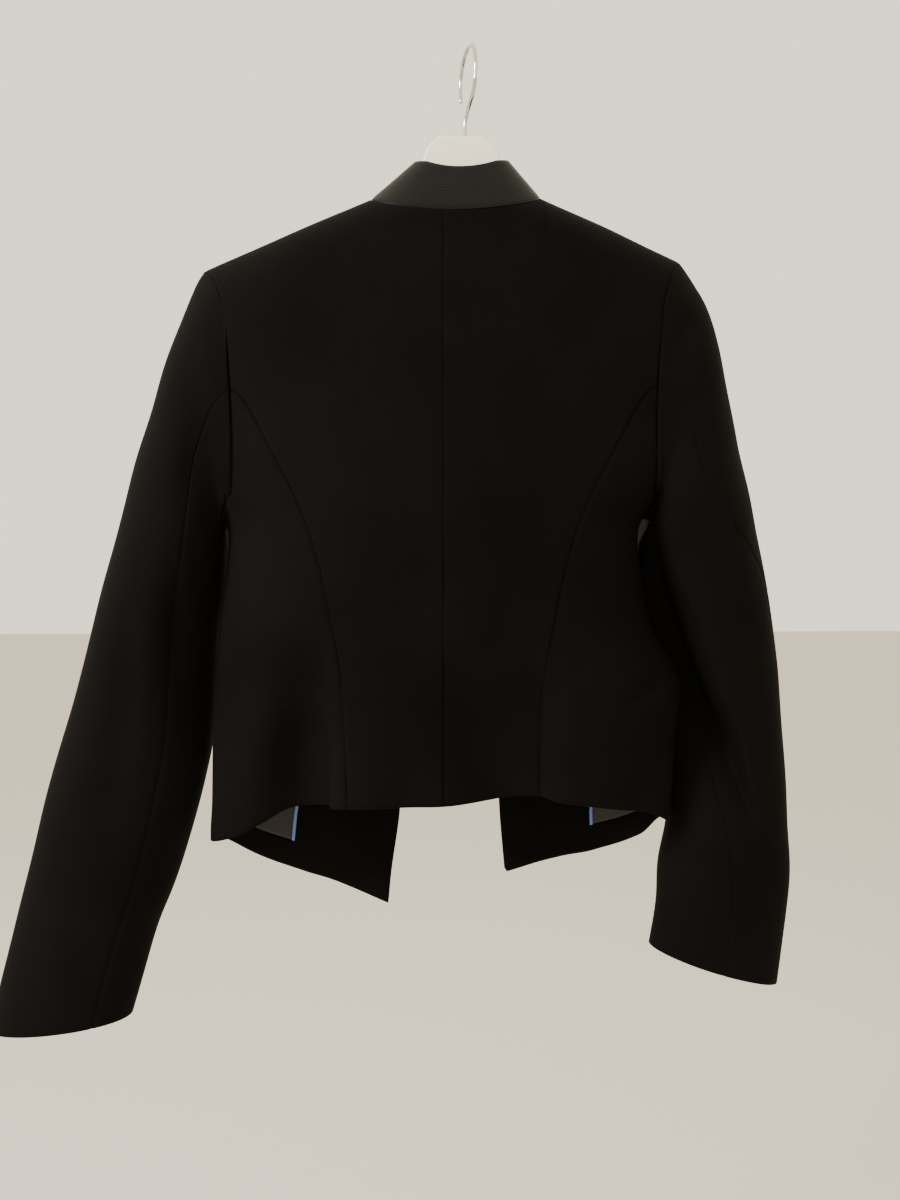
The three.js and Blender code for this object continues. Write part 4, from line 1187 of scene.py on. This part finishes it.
# Heavy satin: dark grey with a soft broad shine and fine ribs along the collar
collar_satin = new_material("duchess_collar_satin")
collar_ribs = add_ribs(collar_satin, "Y", straight_band / collar_rib_spacing, 1.2)
collar_rumple = add_noise(collar_satin, grain_of(collar_satin), 60, 3)
finish_material(collar_satin, {
    "Base Color": tint_between(collar_satin, collar_rumple, 0x030403, 0x070806), "Roughness": 0.5,
    "Specular IOR Level": 0.12, "Sheen Weight": 0.006, "Sheen Roughness": 0.4,
    "Normal": add_relief(collar_satin, collar_rumple, 4.0, collar_ribs, 0.3, 0.0003),
})


def neck_points(name, panel, first):
    return body_grids[name][panel][0, first:first + neck_columns + 1]


neck_seam = np.concatenate([
    neck_points("left", "front", shoulder_columns)[::-1],
    neck_points("left", "back", 0)[::-1][1:],
    neck_points("right", "back", 0)[1:],
    neck_points("right", "front", shoulder_columns)[1:],
])
neck_middle = (shoulders["left"]["neck_x"] + shoulders["right"]["neck_x"]) / 2
back_share = np.clip(-neck_seam[:, 1] / body_sections["back"][0], 0, 1)
collar_rise = mix(collar_top["rise_side"], collar_top["rise_back"], back_share ** collar_rise_power)
collar_head = np.stack([
    collar_top["middle"] + (neck_seam[:, 0] - neck_middle) * collar_top["width"],
    neck_seam[:, 1] * collar_top["depth"],
    neck_seam[:, 2] + collar_rise,
], axis=-1)
collar_foot = neck_seam + np.array([0, 0, collar_lift])
collar_face = np.array([mix(collar_foot, collar_head, share) for share in shares(collar_rows)])
collar_face = closer_at_edges(collar_face, ("top",))
collar_normal = grid_normals(collar_face, collar_face - np.array([collar_top["middle"], 0, -neck_back_down]))
cut_cloth(
    "stand_collar", worked_face(collar_face, collar_normal, ("top",), []), collar_normal, collar_satin,
    "collar",
)


# Seam stitches
# Black sewing thread holds the panels together: a row of lockstitches lies in the valley of each seam.
# Each stitch is a short round bar of thread, laid by Geometry Nodes along the seam's own line.
stitch_spacing = 2.5
stitch_length = 1.9
stitch_radius = 0.28
stitch_depth = 0.75
stitch_least = (0.85, 0.85, 0.88)
stitch_most = (1.1, 1.1, 1.08)

# The centre back, then on each side the curved back seam, the side, the shoulder and the armhole's back and
# front, and the neck
seam_lines = [np.flip(body_grids["left"]["back"][:, 0], 0)]
for name in hands:
    grids = body_grids[name]
    seam_lines += [
        grids["back"][half_hole:, -1],
        grids["side_back"][:, -1],
        grids["back"][0, neck_columns:],
        np.concatenate([grids["back"][:half_hole + 1, -1], grids["side_back"][0, 1:]]),
        grids["front"][:hole_rows + 1, 0],
    ]
seam_lines.append(neck_seam)

# Polyester sewing thread: black, twisted from two plies, a little glossier than the wool
thread = new_material("polyester_sewing_thread")
thread_plies = add_noise(thread, place_in(thread), 1500, 1)
finish_material(thread, {
    "Base Color": tint_between(thread, thread_plies, 0x020202, 0x050504), "Roughness": 0.8,
    "Specular IOR Level": 0.05,
})

stitch_lines = []
for line in seam_lines:
    inward = np.array([body_middle, 0, 0]) - line
    inward[:, 2] = 0
    inward /= np.maximum(np.linalg.norm(inward, axis=-1, keepdims=True), 1)
    stitch_lines.append(line + inward * stitch_depth)
stitches_source = put_in_scene("seam_stitches_source", poly_curve("seam_line_source", stitch_lines))

tree = bpy.data.node_groups.new("lay_lockstitches", "GeometryNodeTree")
tree.interface.new_socket("Geometry", in_out="INPUT", socket_type="NodeSocketGeometry")
for label in ("Stitch spacing", "Stitch length", "Thread radius"):
    tree.interface.new_socket(label, in_out="INPUT", socket_type="NodeSocketFloat")
tree.interface.new_socket("Geometry", in_out="OUTPUT", socket_type="NodeSocketGeometry")
given = add_node(tree, "NodeGroupInput")
spread = add_node(tree, "GeometryNodeResampleCurve", {
    "Curve": given.outputs["Geometry"], "Length": given.outputs["Stitch spacing"],
}, mode="LENGTH")
bar = add_node(tree, "GeometryNodeMeshCylinder", {
    "Vertices": 6, "Side Segments": 2, "Radius": given.outputs["Thread radius"],
    "Depth": given.outputs["Stitch length"],
}, fill_type="TRIANGLE_FAN")
heading = add_node(tree, "GeometryNodeInputTangent")
facing_along = add_node(tree, "FunctionNodeAlignRotationToVector", {
    "Vector": heading.outputs["Tangent"],
}, axis="Z")
uneven = add_node(tree, "FunctionNodeRandomValue", {
    0: stitch_least, 1: stitch_most, "Seed": 7,
}, data_type="FLOAT_VECTOR")
laid = add_node(tree, "GeometryNodeInstanceOnPoints", {
    "Points": spread.outputs["Curve"], "Instance": bar.outputs["Mesh"],
    "Rotation": facing_along.outputs["Rotation"], "Scale": uneven.outputs[0],
})
realised = add_node(tree, "GeometryNodeRealizeInstances", {"Geometry": laid.outputs["Instances"]})
dyed = add_node(tree, "GeometryNodeSetMaterial", {
    "Geometry": realised.outputs["Geometry"], "Material": thread,
})
add_node(tree, "NodeGroupOutput", {"Geometry": dyed.outputs["Geometry"]})

stitching = stitches_source.modifiers.new("lay_lockstitches", "NODES")
stitching.node_group = tree
stitch_sizes = {
    "Stitch spacing": stitch_spacing, "Stitch length": stitch_length, "Thread radius": stitch_radius,
}
for item in tree.interface.items_tree:
    if item.name in stitch_sizes:
        stitching[item.identifier] = stitch_sizes[item.name] * millimetre
stitches = mesh_from(stitches_source, "seam_stitches")
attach(stitches, "root")
